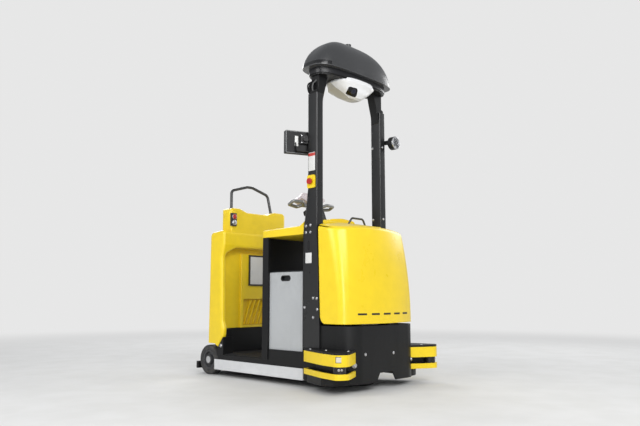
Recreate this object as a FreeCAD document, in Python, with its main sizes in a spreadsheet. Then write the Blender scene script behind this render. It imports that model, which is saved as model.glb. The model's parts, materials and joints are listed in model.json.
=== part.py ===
"""Automated stand-on tow tractor: parametric model, millimetres.

+Z is up, the tractor faces -Y and +X is its left. The origin is on the floor under the middle
of the outline. Every driving dimension is a cell of the sheet "sizes".
"""
import FreeCAD
import Part
import math
import os
import re
from types import SimpleNamespace

import Sketcher
from FreeCAD import Placement, Rotation, Vector

doc = FreeCAD.newDocument("tow_tractor")

# ---------------------------------------------------------------- driving dimensions

SIZES = {
    # whole machine
    "nose_y": -940,             # front of the corner guards
    "tail_y": 940,              # rear of the tow hitch
    "half_width": 400,          # side of the chassis
    "ground_gap": 55,           # under the skirt
    "joint_gap": 0.3,           # between curved neighbours
    "moving_gap": 8,            # between a moving piece and the next one
    # rear wheels
    "axle_y": 772,
    "wheel_radius": 125,
    "tyre_width": 80,
    "wheel_inset": 14,          # tyre's outer side inside the chassis side
    "tyre_room": 10,            # between a tyre and the tail of the frame
    "arch_room": 18,            # between a tyre and the shell above it
    "rim_radius": 80,
    "axle_radius": 15,
    "bearing_gap": 0.05,        # radial play of a wheel on its shaft
    "cap_radius": 44,
    # platform
    "deck_top": 176,
    "mat_thick": 8,
    "strip_thick": 8,
    "strip_low": 53,
    "strip_high": 137,
    "strip_rear": 672,
    "tower_high": 214,          # steel foot behind the kick plate
    "kick_y": 675,
    "kick_thick": 12,
    "cheek_gap": 15,            # between a rear tyre and the cheek in front of it
    "bumper_low": 45,
    "bumper_high": 58,
    "bumper_round": 12,
    # battery bay
    "bay_front": -410,
    "bay_rear": 62,
    "bay_high": 952,
    "wall": 12,
    "bulkhead_thick": 10,
    "battery_inset": 40,        # battery's side inside the chassis side
    "post_depth": 66,
    "post_wide": 20,
    "sill_high": 81,
    "panel_thick": 8,
    "panel_high": 592,
    "panel_round": 6,
    "hole_drop": 47,            # hand-hole's middle under the panel's top
    "hole_radius": 19,
    "hole_reach": 33,           # to the middles of its round ends
    "battery_high": 684,
    "cover_thick": 65,
    "cover_lip": 35,
    # front box and drive unit
    "front_y": -860,
    "front_radius": 142,
    "box_top": 454,
    "box_wall": 10,
    "box_deck": 24,
    "notch_half": 113,
    "notch_high": 62,
    "drive_y": -640,
    "drive_width": 90,
    "well_radius": 108,
    "flange_lip": 18,
    "flange_thick": 16,
    "fork_thick": 15,
    "fork_half": 60,
    "fork_drop": 30,            # fork plates below the drive axle
    "motor_radius": 92,
    "motor_high": 310,
    # hood
    "hood_nose": -876,          # middle of the bowed front, at its foot
    "hood_bow": 1216,           # radius of the front in plan
    "hood_lean": 74,            # front falls back this much towards the top
    "hood_gap": 14,             # between the front box and the hood
    "hood_rear": -562,
    "hood_rake": 24,            # rear edge of the sides runs forward this much towards the foot
    "hood_radius": 80,
    "hood_wall": 8,
    "hood_side": 722,           # height of the hood's sides
    "hood_crown": 36,
    "hood_slope": 11,           # degrees, top falls towards the nose
    "hinge_x": 200,             # hinge arms of the hood
    "hinge_deep": 40,           # pin behind the hood's nose
    "hinge_high": 105,          # pin above the front box
    "hinge_radius": 5,
    # pillars and mast head
    "pillar_wide": 68,
    "pillar_round": 8,
    "pillar_front": -554,
    "pillar_deep": 99,
    "pillar_top": 2200,
    "foot_thick": 12,
    "foot_low": 292,
    "foot_front": -578,
    "flare_low": 1113,
    "flare_high": 1457,
    "head_y": -507,
    "head_half": 452,
    "head_deep": 157,
    "tray_rise": 148,           # tray above the pillar tops
    "tray_thick": 12,
    "band_high": 45,
    "cover_high": 283,
    "antenna_radius": 26,
    "antenna_high": 21,
    "pod_half": 216,
    "pod_deep": 132,
    "pod_high": 121,
    "pod_rise": 14,             # in front of the tray
    "pod_y": -530,
    "pod_x": -73,               # middle of its window
    "pane_half": 34,
    "pane_drop": 55,            # window's top edge under the tray
    # operator place
    "shell_inset": 3,
    "shell_rear": 778,
    "shell_front": 574,
    "ear_top": 1232,
    "ear_wide": 47,
    "shell_round": 24,          # along the outer edges of the sides
    "ear_round": 20,            # along their inner edges
    "block_round": 15,
    "service_thick": 10,        # panel on the shell's back
    "service_round": 24,
    "recess_y": 690,
    "recess_top": 1085,
    "pad_thick": 22,
    "pad_right": -124,
    "pad_left": 240,
    "block_half": 332,
    "block_top": 1436,
    "block_dip": 30,
    "holder_wide": 210,
    "holder_high": 277,
    "holder_thick": 12,
    "holder_rim": 13,
    "card_deep": 5,             # card under the holder's face
    "buttons_wide": 60,         # two-button switch box
    "buttons_deep": 16,
    "cap_round": 22,
    "cap_proud": 10,
    "loop_half": 236,
    "loop_y": 687,
    "loop_tube": 13,
    # steering head
    "console_half": 60,
    "cowl_half": 160,
    "cowl_high": 84,
    "head_lean": 25,            # degrees, steering axis leans to the operator
    "steer_y": -103,
    "steer_z": 1386,
    "grip_half": 238,
    "grip_tube": 14,
    "hub_high": 38,
    "hub_radius": 44,
    # switch, screen and lamp on the pillars
    "switch_z": 1516,
    "switch_wide": 76,
    "switch_high": 98,
    "switch_thick": 12,
    "switch_round": 12,
    "button_radius": 23,
    "screen_wide": 214,
    "screen_high": 176,
    "screen_drop": 464,         # screen's foot under the pillar top
    "screen_turn": -23.6,       # degrees
    "lamp_radius": 55,
    "lamp_deep": 45,
    "lamp_drop": 252,           # lamp's middle under the pillar top
    # corner guards
    "guard_reach": 188,         # beyond the chassis side
    "guard_rear": -450,
    "foot_round": 172,          # round foot under each guard
    "band_thick": 14,
    "band_low": 113,
    "slot_low": 151,
    "slot_high": 199,
    "band_top": 276,
    "guard_top": 290,
    "scanner_radius": 44,
    # tow hitch
    "hitch_radius": 13,
    "hitch_half": 42,
    "hitch_low": 196,
    "jaw_deep": 70,
    "jaw_thick": 14,
    "jaw_pitch": 54,
}
# Sizes that follow from the ones above, so that neighbours keep fitting each other.
FITS = {
    "wheel_face": "half_width - wheel_inset",
    "tail_half": "wheel_face - tyre_width - tyre_room",
    "tail_end": "axle_y + wheel_radius + moving_gap + 1",
    "cheek_rear": "axle_y - wheel_radius - cheek_gap",
    "shell_half": "half_width - shell_inset",
    "shell_low": "2 * wheel_radius + arch_room",
    "tower_top": "deck_top + tower_high",
    "sill_top": "deck_top + sill_high",
    "panel_top": "sill_top + panel_high",
    "battery_top": "deck_top + battery_high",
    "bay_top": "deck_top + bay_high",
    "cover_top": "bay_top + cover_thick",
    "dash_top": "cover_top + cover_lip",
    "pillar_out": "half_width + foot_thick",
    "pillar_rear": "pillar_front + pillar_deep",
    "hood_half": "pillar_out",
    "hood_low": "box_top + hood_gap",
    "hood_top": "hood_low + hood_side",
    "turret_low": "2 * wheel_radius + 12",
    "motor_low": "box_top + joint_gap + flange_thick",
    "screen_low": "pillar_top - screen_drop",
    "lamp_z": "pillar_top - lamp_drop",
    "tray_low": "pillar_top + tray_rise",
    "rim_z": "tray_low + tray_thick + band_high",
    "guard_half": "half_width + guard_reach",
}
# The sheet holds plain numbers and formulas; v gives the same values to the shapes built with Part.
sheet = doc.addObject("Spreadsheet::Sheet", "sizes")
for row, (alias, value) in enumerate((SIZES | FITS).items(), start=1):
    sheet.set(f"A{row}", alias)
    sheet.set(f"B{row}", str(value) if alias in SIZES else "=" + value)
    sheet.setAlias(f"B{row}", alias)
doc.recompute()
v = SimpleNamespace(**{alias: float(sheet.get(alias)) for alias in SIZES | FITS})

PIECES = []


def bound(text):
    """Point each alias in an expression at its cell of the sheet."""
    return re.sub(r"[a-z]\w*", lambda word: "sizes." + word[0] if hasattr(v, word[0]) else word[0], text)


def piece(item, label):
    """Register an object as one finished sub-part."""
    item.Label = label
    PIECES.append(item)
    return item


# ---------------------------------------------------------------- primitives

def block(name, x, y, z):
    """A box between two expressions along each axis."""
    item = doc.addObject("Part::Box", name)
    for size, span in (("Length", x), ("Width", y), ("Height", z)):
        item.setExpression(size, bound(f"({span[1]}) - ({span[0]})"))
    for axis, span in zip("xyz", (x, y, z)):
        item.setExpression("Placement.Base." + axis, bound(span[0]))
    return item


def rod(name, radius, length, start, direction=Vector(0, 0, 1)):
    """A cylinder from a start point along a direction."""
    item = doc.addObject("Part::Cylinder", name)
    item.setExpression("Radius", bound(radius))
    item.setExpression("Height", bound(length))
    item.Placement = Placement(Vector(), Rotation(Vector(0, 0, 1), direction))
    for axis, place in zip("xyz", start):
        item.setExpression("Placement.Base." + axis, bound(place))
    return item


def joined(name, parts):
    """Several overlapping or touching solids made one."""
    item = doc.addObject("Part::MultiFuse", name)
    item.Shapes = parts
    item.Refine = True
    return item


def cut(name, base, tools):
    """A solid less other solids."""
    item = doc.addObject("Part::Cut", name)
    item.Base = base
    item.Tool = tools[0] if len(tools) == 1 else joined(name + "_tools", tools)
    item.Refine = True
    return item


def group(name, parts):
    """Separate like pieces that share one node."""
    item = doc.addObject("Part::Compound", name)
    item.Links = parts
    return item


def shaped(name, shape):
    """A free-form solid whose shape is worked out below from the sheet's values."""
    item = doc.addObject("Part::Feature", name)
    item.Shape = shape
    return item


# ---------------------------------------------------------------- sketches

def outline(body, plane, height, points, name):
    """A closed polygon on one of the body's own planes; each corner is a pair of expressions."""
    sketch = body.newObject("Sketcher::SketchObject", name)
    support = next(f for f in body.Origin.OriginFeatures if f.Role == plane + "_Plane")
    sketch.AttachmentSupport = [(support, "")]
    sketch.MapMode = "FlatFace"
    sketch.setExpression("AttachmentOffset.Base.z", bound(height))
    count = len(points)
    ring = [Vector(math.cos(2 * math.pi * k / count), math.sin(2 * math.pi * k / count), 0) * 100
            for k in range(count)]
    for k in range(count):
        sketch.addGeometry(Part.LineSegment(ring[k], ring[(k + 1) % count]), False)
    for k in range(count):
        sketch.addConstraint(Sketcher.Constraint("Coincident", k, 2, (k + 1) % count, 1))
    for k, corner in enumerate(points):
        for kind, text, start in (("DistanceX", corner[0], ring[k].x), ("DistanceY", corner[1], ring[k].y)):
            index = sketch.addConstraint(Sketcher.Constraint(kind, -1, 1, k, 1, start))
            sketch.setExpression(f"Constraints[{index}]", bound(text))
    return sketch


def pad(body, plane, low, high, points, name):
    """Raise a polygon between two heights along its plane's normal.

    XY rises along +Z, YZ along +X, and XZ along -Y, so its heights are given as -Y.
    """
    sketch = outline(body, plane, low, points, name + "_sketch")
    feature = body.newObject("PartDesign::Pad", name)
    feature.Profile = sketch
    feature.setExpression("Length", bound(f"({high}) - ({low})"))
    body.Tip = feature
    return feature


def soften(body, base, radius, wanted, name, kind="Fillet"):
    """Round or chamfer the edges of the base that the test picks."""
    doc.recompute()
    names = [f"Edge{k}" for k, edge in enumerate(base.Shape.Edges, start=1) if wanted(edge)]
    feature = body.newObject("PartDesign::" + kind, name)
    feature.Base = (base, names)
    feature.setExpression("Radius" if kind == "Fillet" else "Size", bound(radius))
    body.Tip = feature
    return feature


def along(edge, axis):
    """True for a straight edge that runs along X, Y or Z (0, 1 or 2)."""
    if not isinstance(edge.Curve, Part.Line):
        return False
    return abs(abs(edge.Curve.Direction[axis]) - 1) < 1e-6


def near(value, target, reach=1.0):
    return abs(value - target) < reach


# ---------------------------------------------------------------- free-form helpers

def rounded_wire(corners, z):
    """A closed wire at one height through (x, y, radius) corners, each rounded by a tangent arc."""
    edges, ends = [], []
    count = len(corners)
    for k, (x, y, radius) in enumerate(corners):
        here = Vector(x, y, z)
        before = Vector(*corners[k - 1][:2], z) - here
        after = Vector(*corners[(k + 1) % count][:2], z) - here
        before.normalize()
        after.normalize()
        if radius <= 0:
            ends.append((here, here))
            continue
        half = before.getAngle(after) / 2
        reach = radius / math.tan(half)
        middle = before + after
        middle.normalize()
        centre = here + middle * (radius / math.sin(half))
        ends.append((here + before * reach, here + after * reach))
        edges.append((k, Part.Arc(ends[k][0], centre - middle * radius, ends[k][1]).toShape()))
    arcs = dict(edges)
    path = []
    for k in range(count):
        if k in arcs:
            path.append(arcs[k])
        path.append(Part.LineSegment(ends[k][1], ends[(k + 1) % count][0]).toShape())
    return Part.Wire(path)


def prism(corners, low, high):
    """A rounded polygon raised between two heights."""
    return Part.Face(rounded_wire(corners, low)).extrude(Vector(0, 0, high - low))


def side_prism(corners, low, high):
    """A rounded (y, z, radius) polygon drawn out along X."""
    wire = rounded_wire(corners, 0)
    wire.transformShape(FreeCAD.Matrix(0, 0, 1, low, 1, 0, 0, 0, 0, 1, 0, 0, 0, 0, 0, 1))
    return Part.Face(wire).extrude(Vector(high - low, 0, 0))


def front_prism(corners, low, high):
    """A rounded (x, z, radius) polygon drawn out along Y."""
    wire = rounded_wire(corners, 0)
    wire.transformShape(FreeCAD.Matrix(1, 0, 0, 0, 0, 0, 1, low, 0, 1, 0, 0, 0, 0, 0, 1))
    return Part.Face(wire).extrude(Vector(0, high - low, 0))


def superellipse(centre, half_x, half_y, power, z, count=48):
    """A closed smooth curve |x/a|^p + |y/b|^p = 1 at one height."""
    points = []
    for k in range(count):
        turn = 2 * math.pi * k / count
        c, s = math.cos(turn), math.sin(turn)
        points.append(Vector(centre[0] + half_x * math.copysign(abs(c) ** (2 / power), c),
                             centre[1] + half_y * math.copysign(abs(s) ** (2 / power), s), z))
    curve = Part.BSplineCurve()
    curve.interpolate(points, PeriodicFlag=True)
    return Part.Wire(curve.toShape())


def tube(points, radius, bend):
    """A round bar along straight runs joined by tangent arcs of one bend radius."""
    spots = [Vector(*p) for p in points]
    edges = []
    start = spots[0]
    for k in range(1, len(spots) - 1):
        back = spots[k - 1] - spots[k]
        ahead = spots[k + 1] - spots[k]
        back.normalize()
        ahead.normalize()
        half = back.getAngle(ahead) / 2
        reach = bend / math.tan(half)
        middle = back + ahead
        middle.normalize()
        crown = spots[k] + middle * (bend / math.sin(half) - bend)
        first, last = spots[k] + back * reach, spots[k] + ahead * reach
        edges.append(Part.LineSegment(start, first).toShape())
        edges.append(Part.Arc(first, crown, last).toShape())
        start = last
    edges.append(Part.LineSegment(start, spots[-1]).toShape())
    path = Part.Wire(edges)
    ring = Part.Wire(Part.Circle(spots[0], spots[1] - spots[0], radius).toShape())
    return path.makePipeShell([ring], True, True)


# ---------------------------------------------------------------- platform

def main_frame():
    """Welded deck with a narrow tail between the rear wheels, side sills and a rear tower."""
    body = doc.addObject("PartDesign::Body", "frame_body")
    wheel_front = "axle_y - wheel_radius - moving_gap"
    pad(body, "XY", "ground_gap + 5", "deck_top", [
        ("strip_thick - half_width", "bay_front"),
        ("half_width - strip_thick", "bay_front"),
        ("half_width - strip_thick", wheel_front),
        ("tail_half", wheel_front),
        ("tail_half", "tail_end"),
        ("-tail_half", "tail_end"),
        ("-tail_half", wheel_front),
        ("strip_thick - half_width", wheel_front),
    ], "deck")
    tower = [("-tail_half", "kick_y + kick_thick"), ("tail_half", "kick_y + kick_thick"),
             ("tail_half", "shell_rear"), ("-tail_half", "shell_rear")]
    pad(body, "XY", "deck_top", "tower_top", tower, "tower")
    for side, sign in (("right", "-"), ("left", "")):
        outer = f"{sign}(half_width - strip_thick)"
        inner = f"{sign}(half_width - strip_thick - 12)"
        edges = (outer, inner) if sign else (inner, outer)
        pad(body, "XY", "deck_top", "sill_top", [
            (edges[0], "bay_front"), (edges[1], "bay_front"),
            (edges[1], "bay_rear - post_depth"), (edges[0], "bay_rear - post_depth"),
        ], "sill_" + side)
    return piece(body, "main_frame")


def floor_mat():
    """Ribbed rubber mat of the stand-on place."""
    body = doc.addObject("PartDesign::Body", "mat_body")
    side, step, inner = "half_width - 20", "shell_front - 16", "tail_half - 5"
    pad(body, "XY", "deck_top", "deck_top + mat_thick", [
        ("-(" + side + ")", "bay_rear + 4"), (side, "bay_rear + 4"), (side, step), (inner, step),
        (inner, "kick_y - 2"), ("-(" + inner + ")", "kick_y - 2"), ("-(" + inner + ")", step),
        ("-(" + side + ")", step),
    ], "mat")
    return piece(body, "floor_mat")


def side_strips():
    """Blank pale plates along both sides of the chassis."""
    spans = (("half_width - strip_thick", "half_width"), ("-half_width", "strip_thick - half_width"))
    plates = [block(f"strip_{k}", x, ("bay_front + 13", "strip_rear"), ("strip_low", "strip_high"))
              for k, x in enumerate(spans)]
    return piece(group("strips", plates), "side_strips")


def kick_plate():
    """Black wall at the operator's heels with a cheek in front of each rear wheel."""
    inner = "(shell_half - ear_wide)"
    wall = block("kick_wall", ("-" + inner, inner), ("kick_y", "kick_y + kick_thick"),
                 ("shell_low", "tower_top"))
    low_wall = block("kick_low", ("-tail_half", "tail_half"), ("kick_y", "kick_y + kick_thick"),
                     ("deck_top", "shell_low"))
    parts = [wall, low_wall]
    for side, low, high in (("right", "-shell_half", "4 - tail_half"), ("left", "tail_half - 4", "shell_half")):
        cheek = doc.addObject("PartDesign::Body", "cheek_" + side)
        pad(cheek, "YZ", low, high, [
            ("cheek_rear", "deck_top"), ("shell_front - 14", "deck_top"), ("shell_front - 14", "shell_low + 56"),
            ("shell_front - 8", "shell_low + 56"), ("cheek_rear", "shell_low - 32"),
        ], "cheek_" + side + "_pad")
        parts.append(cheek)
    for side, x in (("right", ("-" + inner, "4 - tail_half")), ("left", ("tail_half - 4", inner))):
        parts.append(block("kick_web_" + side, x, ("shell_front - 2", "kick_y + 6"),
                           ("shell_low + 12", "tower_top")))
        parts.append(block("kick_foot_" + side, x, ("shell_front - 14", "cheek_rear"),
                           ("deck_top", "shell_low + 20")))
    return piece(joined("kick_joined", parts), "kick_plate")


def rear_bumper():
    """Steel bar across the tail, behind both wheels."""
    body = doc.addObject("PartDesign::Body", "bumper_body")
    bar = pad(body, "XY", "bumper_low", "bumper_low + bumper_high", [
        ("shell_inset - half_width", "tail_end"), ("half_width - shell_inset", "tail_end"),
        ("half_width - shell_inset", "tail_y"), ("shell_inset - half_width", "tail_y"),
    ], "bar")
    soften(body, bar, "min(bumper_round; (tail_y - tail_end) / 2)",
           lambda e: along(e, 2) and e.CenterOfMass.y > v.tail_y - 2, "bar_ends")
    return piece(body, "rear_bumper")


def tow_hitch():
    """Three-height coupling: a riser on the tail with jaws bored for a drop pin."""
    body = doc.addObject("PartDesign::Body", "hitch_body")
    pad(body, "XY", "deck_top", "deck_top + jaw_thick", [
        ("-hitch_half * 2", "shell_rear + 24"), ("hitch_half * 2", "shell_rear + 24"),
        ("hitch_half * 2", "tail_y - jaw_deep"), ("-hitch_half * 2", "tail_y - jaw_deep"),
    ], "foot")
    jaws_top = "hitch_low + jaw_thick + 2 * jaw_pitch"
    riser = pad(body, "XY", "deck_top + jaw_thick", jaws_top, [
        ("-hitch_half", "shell_rear + 40"), ("hitch_half", "shell_rear + 40"),
        ("hitch_half", "tail_y - jaw_deep"), ("-hitch_half", "tail_y - jaw_deep"),
    ], "riser")
    soften(body, riser, "6", lambda e: along(e, 2) and near(abs(e.CenterOfMass.x), v.hitch_half)
           and e.CenterOfMass.y < v.tail_y - v.jaw_deep - 16, "riser_round")
    for level in range(3):
        low = f"hitch_low + {level} * jaw_pitch"
        jaw = pad(body, "XY", low, low + " + jaw_thick", [
            ("-hitch_half", "tail_y - jaw_deep - 2"), ("hitch_half", "tail_y - jaw_deep - 2"),
            ("hitch_half", "tail_y"), ("-hitch_half", "tail_y"),
        ], f"jaw_{level}")
        soften(body, jaw, "hitch_half - 12", lambda e: along(e, 2) and near(e.CenterOfMass.y, v.tail_y),
               f"jaw_{level}_round")
    bore = rod("hitch_bore", "hitch_radius", "3 * jaw_pitch", ("0", "tail_y - 28", "hitch_low - 5"))
    return piece(cut("hitch_cut", body, [bore]), "tow_hitch")


# ---------------------------------------------------------------- operator place

def backrest_shell():
    """Moulded yellow backrest: two side ears, an inner wall, a thick head and a raised block."""
    half, ear = v.shell_half, v.ear_wide
    rear, front, low = v.shell_rear, v.shell_front, v.shell_low
    side = [(rear, low, 0), (v.kick_y - 1, low - 2, 0), (v.kick_y - 40, low - 28, 0), (front - 4, low + 62, 40),
            (front - 12, low + 125, 60), (front + 10, low + 190, 80), (front + 28, v.recess_top - 80, 120),
            (front, v.recess_top + 20, 60), (front, v.ear_top + 4, 35), (rear - 4, v.ear_top - 12, 40)]
    outer = side_prism(side, -half, half)
    outer = outer.makeFillet(v.shell_round, [edge for edge in outer.Edges if outer_ear_edge(edge)])
    inner_half = half - ear
    arch = [(-inner_half, low - 60, 0), (inner_half, low - 60, 0), (inner_half, v.recess_top - 50, 40),
            (inner_half - 95, v.recess_top, 60), (95 - inner_half, v.recess_top, 60),
            (-inner_half, v.recess_top - 50, 40)]
    recess = front_prism(arch, front - 30, v.recess_y)
    foot = Part.makeBox(2 * inner_half, rear - front + 40, v.tower_top - low + 60,
                        Vector(-inner_half, front - 20, low - 60))
    shell = outer.cut([recess, foot])
    shell = shell.makeFillet(v.ear_round, [edge for edge in shell.Edges if inner_ear_edge(edge)])
    cushion = prism([(v.pad_right, v.recess_y - v.pad_thick, 10), (v.pad_left, v.recess_y - v.pad_thick, 10),
                     (v.pad_left, v.recess_y + 5, 0), (v.pad_right, v.recess_y + 5, 0)],
                    v.tower_top, v.recess_top - 40)
    well = Part.makeBox(v.pad_left - v.pad_right - 60, 60, 228,
                        Vector(v.pad_right + 30, v.recess_y - 30, v.tower_top + 22))
    whole = shell.fuse([head_block(), cushion]).cut(well).removeSplitter()
    return piece(shaped("shell", whole), "backrest_shell")


def outer_ear_edge(edge):
    """An edge along the rear, top or front of a side, without the sloping foot."""
    middle = edge.CenterOfMass
    return near(abs(middle.x), v.shell_half) and middle.z > v.shell_low + 60


def inner_ear_edge(edge):
    """An upright edge between an ear's front and the recess."""
    middle, box = edge.CenterOfMass, edge.BoundBox
    inner = v.shell_half - v.ear_wide
    return (near(abs(middle.x), inner) and middle.y < v.shell_front + 60 and box.ZLength > 30
            and middle.z > v.shell_low + 60 and middle.z < v.recess_top - 50)


def head_block():
    """Raised block on the backrest: two crests with a dip between, widening upwards, round in plan."""
    half, top, dip = v.block_half, v.block_top, v.block_dip
    front, rear = v.shell_front + 6, v.loop_y + 33
    crest = [(24 - half, v.ear_top - 60, 0), (half - 24, v.ear_top - 60, 0), (half, top, 48),
             (0.56 * half, top, 60), (0.34 * half, top - dip, 70),
             (-0.40 * half, top - dip, 70), (-0.66 * half, top, 60), (-half, top, 48)]
    plan = [(-half, front, 34), (half, front, 34), (half, rear, 58), (-half, rear, 58)]
    block_form = front_prism(crest, front, rear).common(prism(plan, v.ear_top - 60, top + 10))
    rims = [edge for edge in block_form.Edges
            if near(edge.CenterOfMass.y, front) and edge.CenterOfMass.z > v.ear_top + 60]
    return block_form.makeFillet(v.block_round, rims)


def rear_panel():
    """Service panel on the back of the shell."""
    body = doc.addObject("PartDesign::Body", "rear_panel_body")
    sheet_metal = pad(body, "XY", "tower_top - 90", "ear_top - 100", [
        ("-tail_half", "shell_rear"), ("tail_half", "shell_rear"),
        ("tail_half", "shell_rear + service_thick"), ("-tail_half", "shell_rear + service_thick"),
    ], "rear_sheet")
    soften(body, sheet_metal, "service_round", lambda e: along(e, 1), "rear_corners")
    return piece(body, "rear_panel")


def document_holder():
    """Dark frame with a blank card on the inner wall."""
    back = "recess_y - pad_thick"
    left = "(pad_right + pad_left + holder_wide + 8) / 2"
    right, high = left + " - holder_wide", "recess_top - 50"
    face = back + " - holder_thick"
    frame = block("holder_plate", (right, left), (face, back), (high + " - holder_high", high))
    window = block("holder_window", (right + " + holder_rim", left + " - holder_rim"),
                   (face + " - 1", face + " + card_deep"),
                   (high + " - holder_high + holder_rim", high + " - holder_rim"))
    return piece(cut("holder_cut", frame, [window]), "document_holder")


def grab_loop():
    """Bent tube loop standing on the two crests of the backrest."""
    base, y = v.block_top - 1, v.loop_y
    half = v.loop_half
    bar = tube([(-half, y, base), (21 - half, y + 28, base + 178), (-30, y + 30, base + 232),
                (30, y + 30, base + 232), (half - 21, y + 28, base + 178), (half, y, base)], v.loop_tube, 45)
    for x in (-half, half):
        bar = bar.fuse(Part.makeCylinder(v.loop_tube + 9, 10, Vector(x, y, base + 1)))
    return piece(shaped("loop", bar.cut(Part.makeBox(1000, 400, 20, Vector(-500, y - 200, base - 19)))),
                 "grab_loop")


def button_box():
    """Two-button switch box on the right crest."""
    back = "shell_front + 6"
    middle, face = "2 + buttons_wide / 2 - block_half", back + " - buttons_deep"
    box = block("button_plate", ("2 - block_half", "2 + buttons_wide - block_half"), (face, back),
                ("block_top - 163", "block_top - 50"))
    red, pale = (rod("button_" + name, "cap_round", "cap_proud", (middle, face, "block_top - " + drop),
                     Vector(0, -1, 0)) for name, drop in (("red", "82"), ("pale", "133")))
    return piece(joined("button_joined", [box, red, pale]), "button_box")


# ---------------------------------------------------------------- battery bay

def bay_frame():
    """Rear wall of the battery bay with a post at each side."""
    wall = block("bay_wall", ("-half_width", "half_width"), ("bay_rear - wall", "bay_rear"),
                 ("deck_top", "bay_top"))
    depth, height = ("bay_rear - post_depth", "bay_rear"), ("deck_top", "bay_top")
    posts = [block("bay_post_right", ("-half_width", "post_wide - half_width"), depth, height),
             block("bay_post_left", ("half_width - post_wide", "half_width"), depth, height)]
    return piece(joined("bay_joined", [wall] + posts), "bay_frame")


def bulkhead():
    """Front wall of the battery bay, up to the dash."""
    return piece(block("bulkhead_plate", ("post_wide - half_width", "half_width - post_wide"),
                       ("bay_front", "bay_front + bulkhead_thick"), ("deck_top", "bay_top")), "bulkhead")


def battery():
    """Traction battery as one plain block."""
    return piece(block("battery_block", ("battery_inset - half_width", "half_width - battery_inset"),
                       ("bay_front + 2 * bulkhead_thick", "bay_rear - wall - bulkhead_thick"),
                       ("deck_top", "battery_top")), "battery")


def battery_panels():
    """Lift-out side panels, each with an oval hand-hole, standing on the sills."""
    panels = []
    inner = "half_width - post_wide - panel_thick"
    middle = "(bay_front + bay_rear - 26) / 2"
    for label, low, high in (("left", inner, "half_width - post_wide"),
                             ("right", "post_wide - half_width", "-(" + inner + ")")):
        body = doc.addObject("PartDesign::Body", "panel_body_" + label)
        sheet_metal = pad(body, "YZ", low, high, [
            ("bay_front + 38", "sill_top"), ("bay_rear - 64", "sill_top"),
            ("bay_rear - 64", "panel_top"), ("bay_front + 38", "panel_top"),
        ], "panel_sheet_" + label)
        soften(body, sheet_metal, "panel_round", lambda e: along(e, 0), "panel_corners_" + label)
        slot = block("panel_slot_" + label, (low + " - 5", high + " + 5"),
                     (middle + " - hole_reach", middle + " + hole_reach"),
                     ("panel_top - hole_drop - hole_radius", "panel_top - hole_drop + hole_radius"))
        ends = [rod(f"panel_end_{label}_{k}", "hole_radius", "panel_thick + 10",
                    (low + " - 5", middle + end, "panel_top - hole_drop"), Vector(1, 0, 0))
                for k, end in enumerate((" - hole_reach", " + hole_reach"))]
        panels.append(cut("panel_cut_" + label, body, [slot] + ends))
    return piece(group("panels", panels), "battery_panels")


def battery_cover():
    """Yellow cover over the bay; its front edge sweeps up to the dash."""
    body = doc.addObject("PartDesign::Body", "cover_body")
    lid = pad(body, "YZ", "-half_width", "half_width", [
        ("bay_rear", "bay_top"), ("bay_rear", "cover_top - 6"), ("bay_front + 60", "cover_top + 3"),
        ("bay_front + 8", "dash_top"), ("bay_front + 8", "bay_top"),
    ], "lid")
    soften(body, lid, "14", lambda e: not along(e, 2) and e.CenterOfMass.z > v.bay_top + 40
           and not near(e.CenterOfMass.y, v.bay_front + 8), "lid_round")
    return piece(body, "battery_cover")


# ---------------------------------------------------------------- front box, hood and dash

def front_outline(inset=0.0, rear=None):
    """Plan of the front box: square at the rear, two round front corners."""
    half = v.half_width - inset
    front = v.front_y + inset
    back = v.bay_front - inset if rear is None else rear
    radius = v.front_radius - inset
    return [(-half, back, 0), (-half, front, radius), (half, front, radius), (half, back, 0)]


def front_box():
    """Steel box round the drive unit: open below, a deck with a round well above."""
    outer = prism(front_outline(), v.ground_gap, v.box_top)
    cavity = prism(front_outline(v.box_wall), v.ground_gap - 10, v.box_top - v.box_deck)
    well = Part.makeCylinder(v.well_radius, 2 * v.box_deck,
                             Vector(0, v.drive_y, v.box_top - 1.5 * v.box_deck))
    half, low = v.notch_half, v.ground_gap - 10
    top = v.ground_gap + v.notch_high
    notch = front_prism([(-half, low, 0), (half, low, 0), (half, v.ground_gap, 0), (half - 39, top, 0),
                         (39 - half, top, 0), (-half, v.ground_gap, 0)], v.front_y - 20, v.front_y + 60)
    box = outer.cut([cavity, well, notch])
    return piece(shaped("front_box_shape", box.fuse(hinge_arms()).removeSplitter()), "front_box")


def hinge_arms():
    """Two goosenecks on the box's deck; each reaches forward and turns outwards into a hinge pin."""
    y, z = v.hood_nose + v.hinge_deep, v.box_top + v.hinge_high
    reach, thick = v.hinge_high + 4, 2 * v.hinge_radius
    arms = []
    for side in (-1, 1):
        low_x = side * v.hinge_x - 8
        post = Part.makeBox(16, 20, v.hinge_high + 15, Vector(low_x, y + reach, v.box_top - 10))
        arm = Part.makeBox(16, reach + 20 + v.hinge_radius, thick,
                           Vector(low_x, y - v.hinge_radius, z - v.hinge_radius))
        pin = Part.makeCylinder(v.hinge_radius, 26, Vector(side * v.hinge_x, y, z), Vector(side, 0, 0))
        arms += [post, arm, pin]
    return arms


def hinge_ears():
    """Two eyes inside the hood's front wall, each on a hinge pin."""
    y, z = v.hood_nose + v.hinge_deep, v.box_top + v.hinge_high
    wall = v.hood_nose + v.hood_bow - math.sqrt(v.hood_bow ** 2 - v.hinge_x ** 2) + v.hood_wall / 2
    ears = []
    for side in (-1, 1):
        start = Vector(side * (v.hinge_x + 11), y, z)
        eye = Part.makeCylinder(11, 12, start, Vector(side, 0, 0))
        foot = Part.makeBox(12, y - wall, 22, Vector(min(start.x, start.x + side * 12), wall, z - 11))
        hole = Part.makeCylinder(v.hinge_radius + v.bearing_gap, 40, Vector(side * v.hinge_x, y, z),
                                 Vector(side, 0, 0))
        ears.append(eye.fuse(foot).cut(hole))
    return ears


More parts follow.
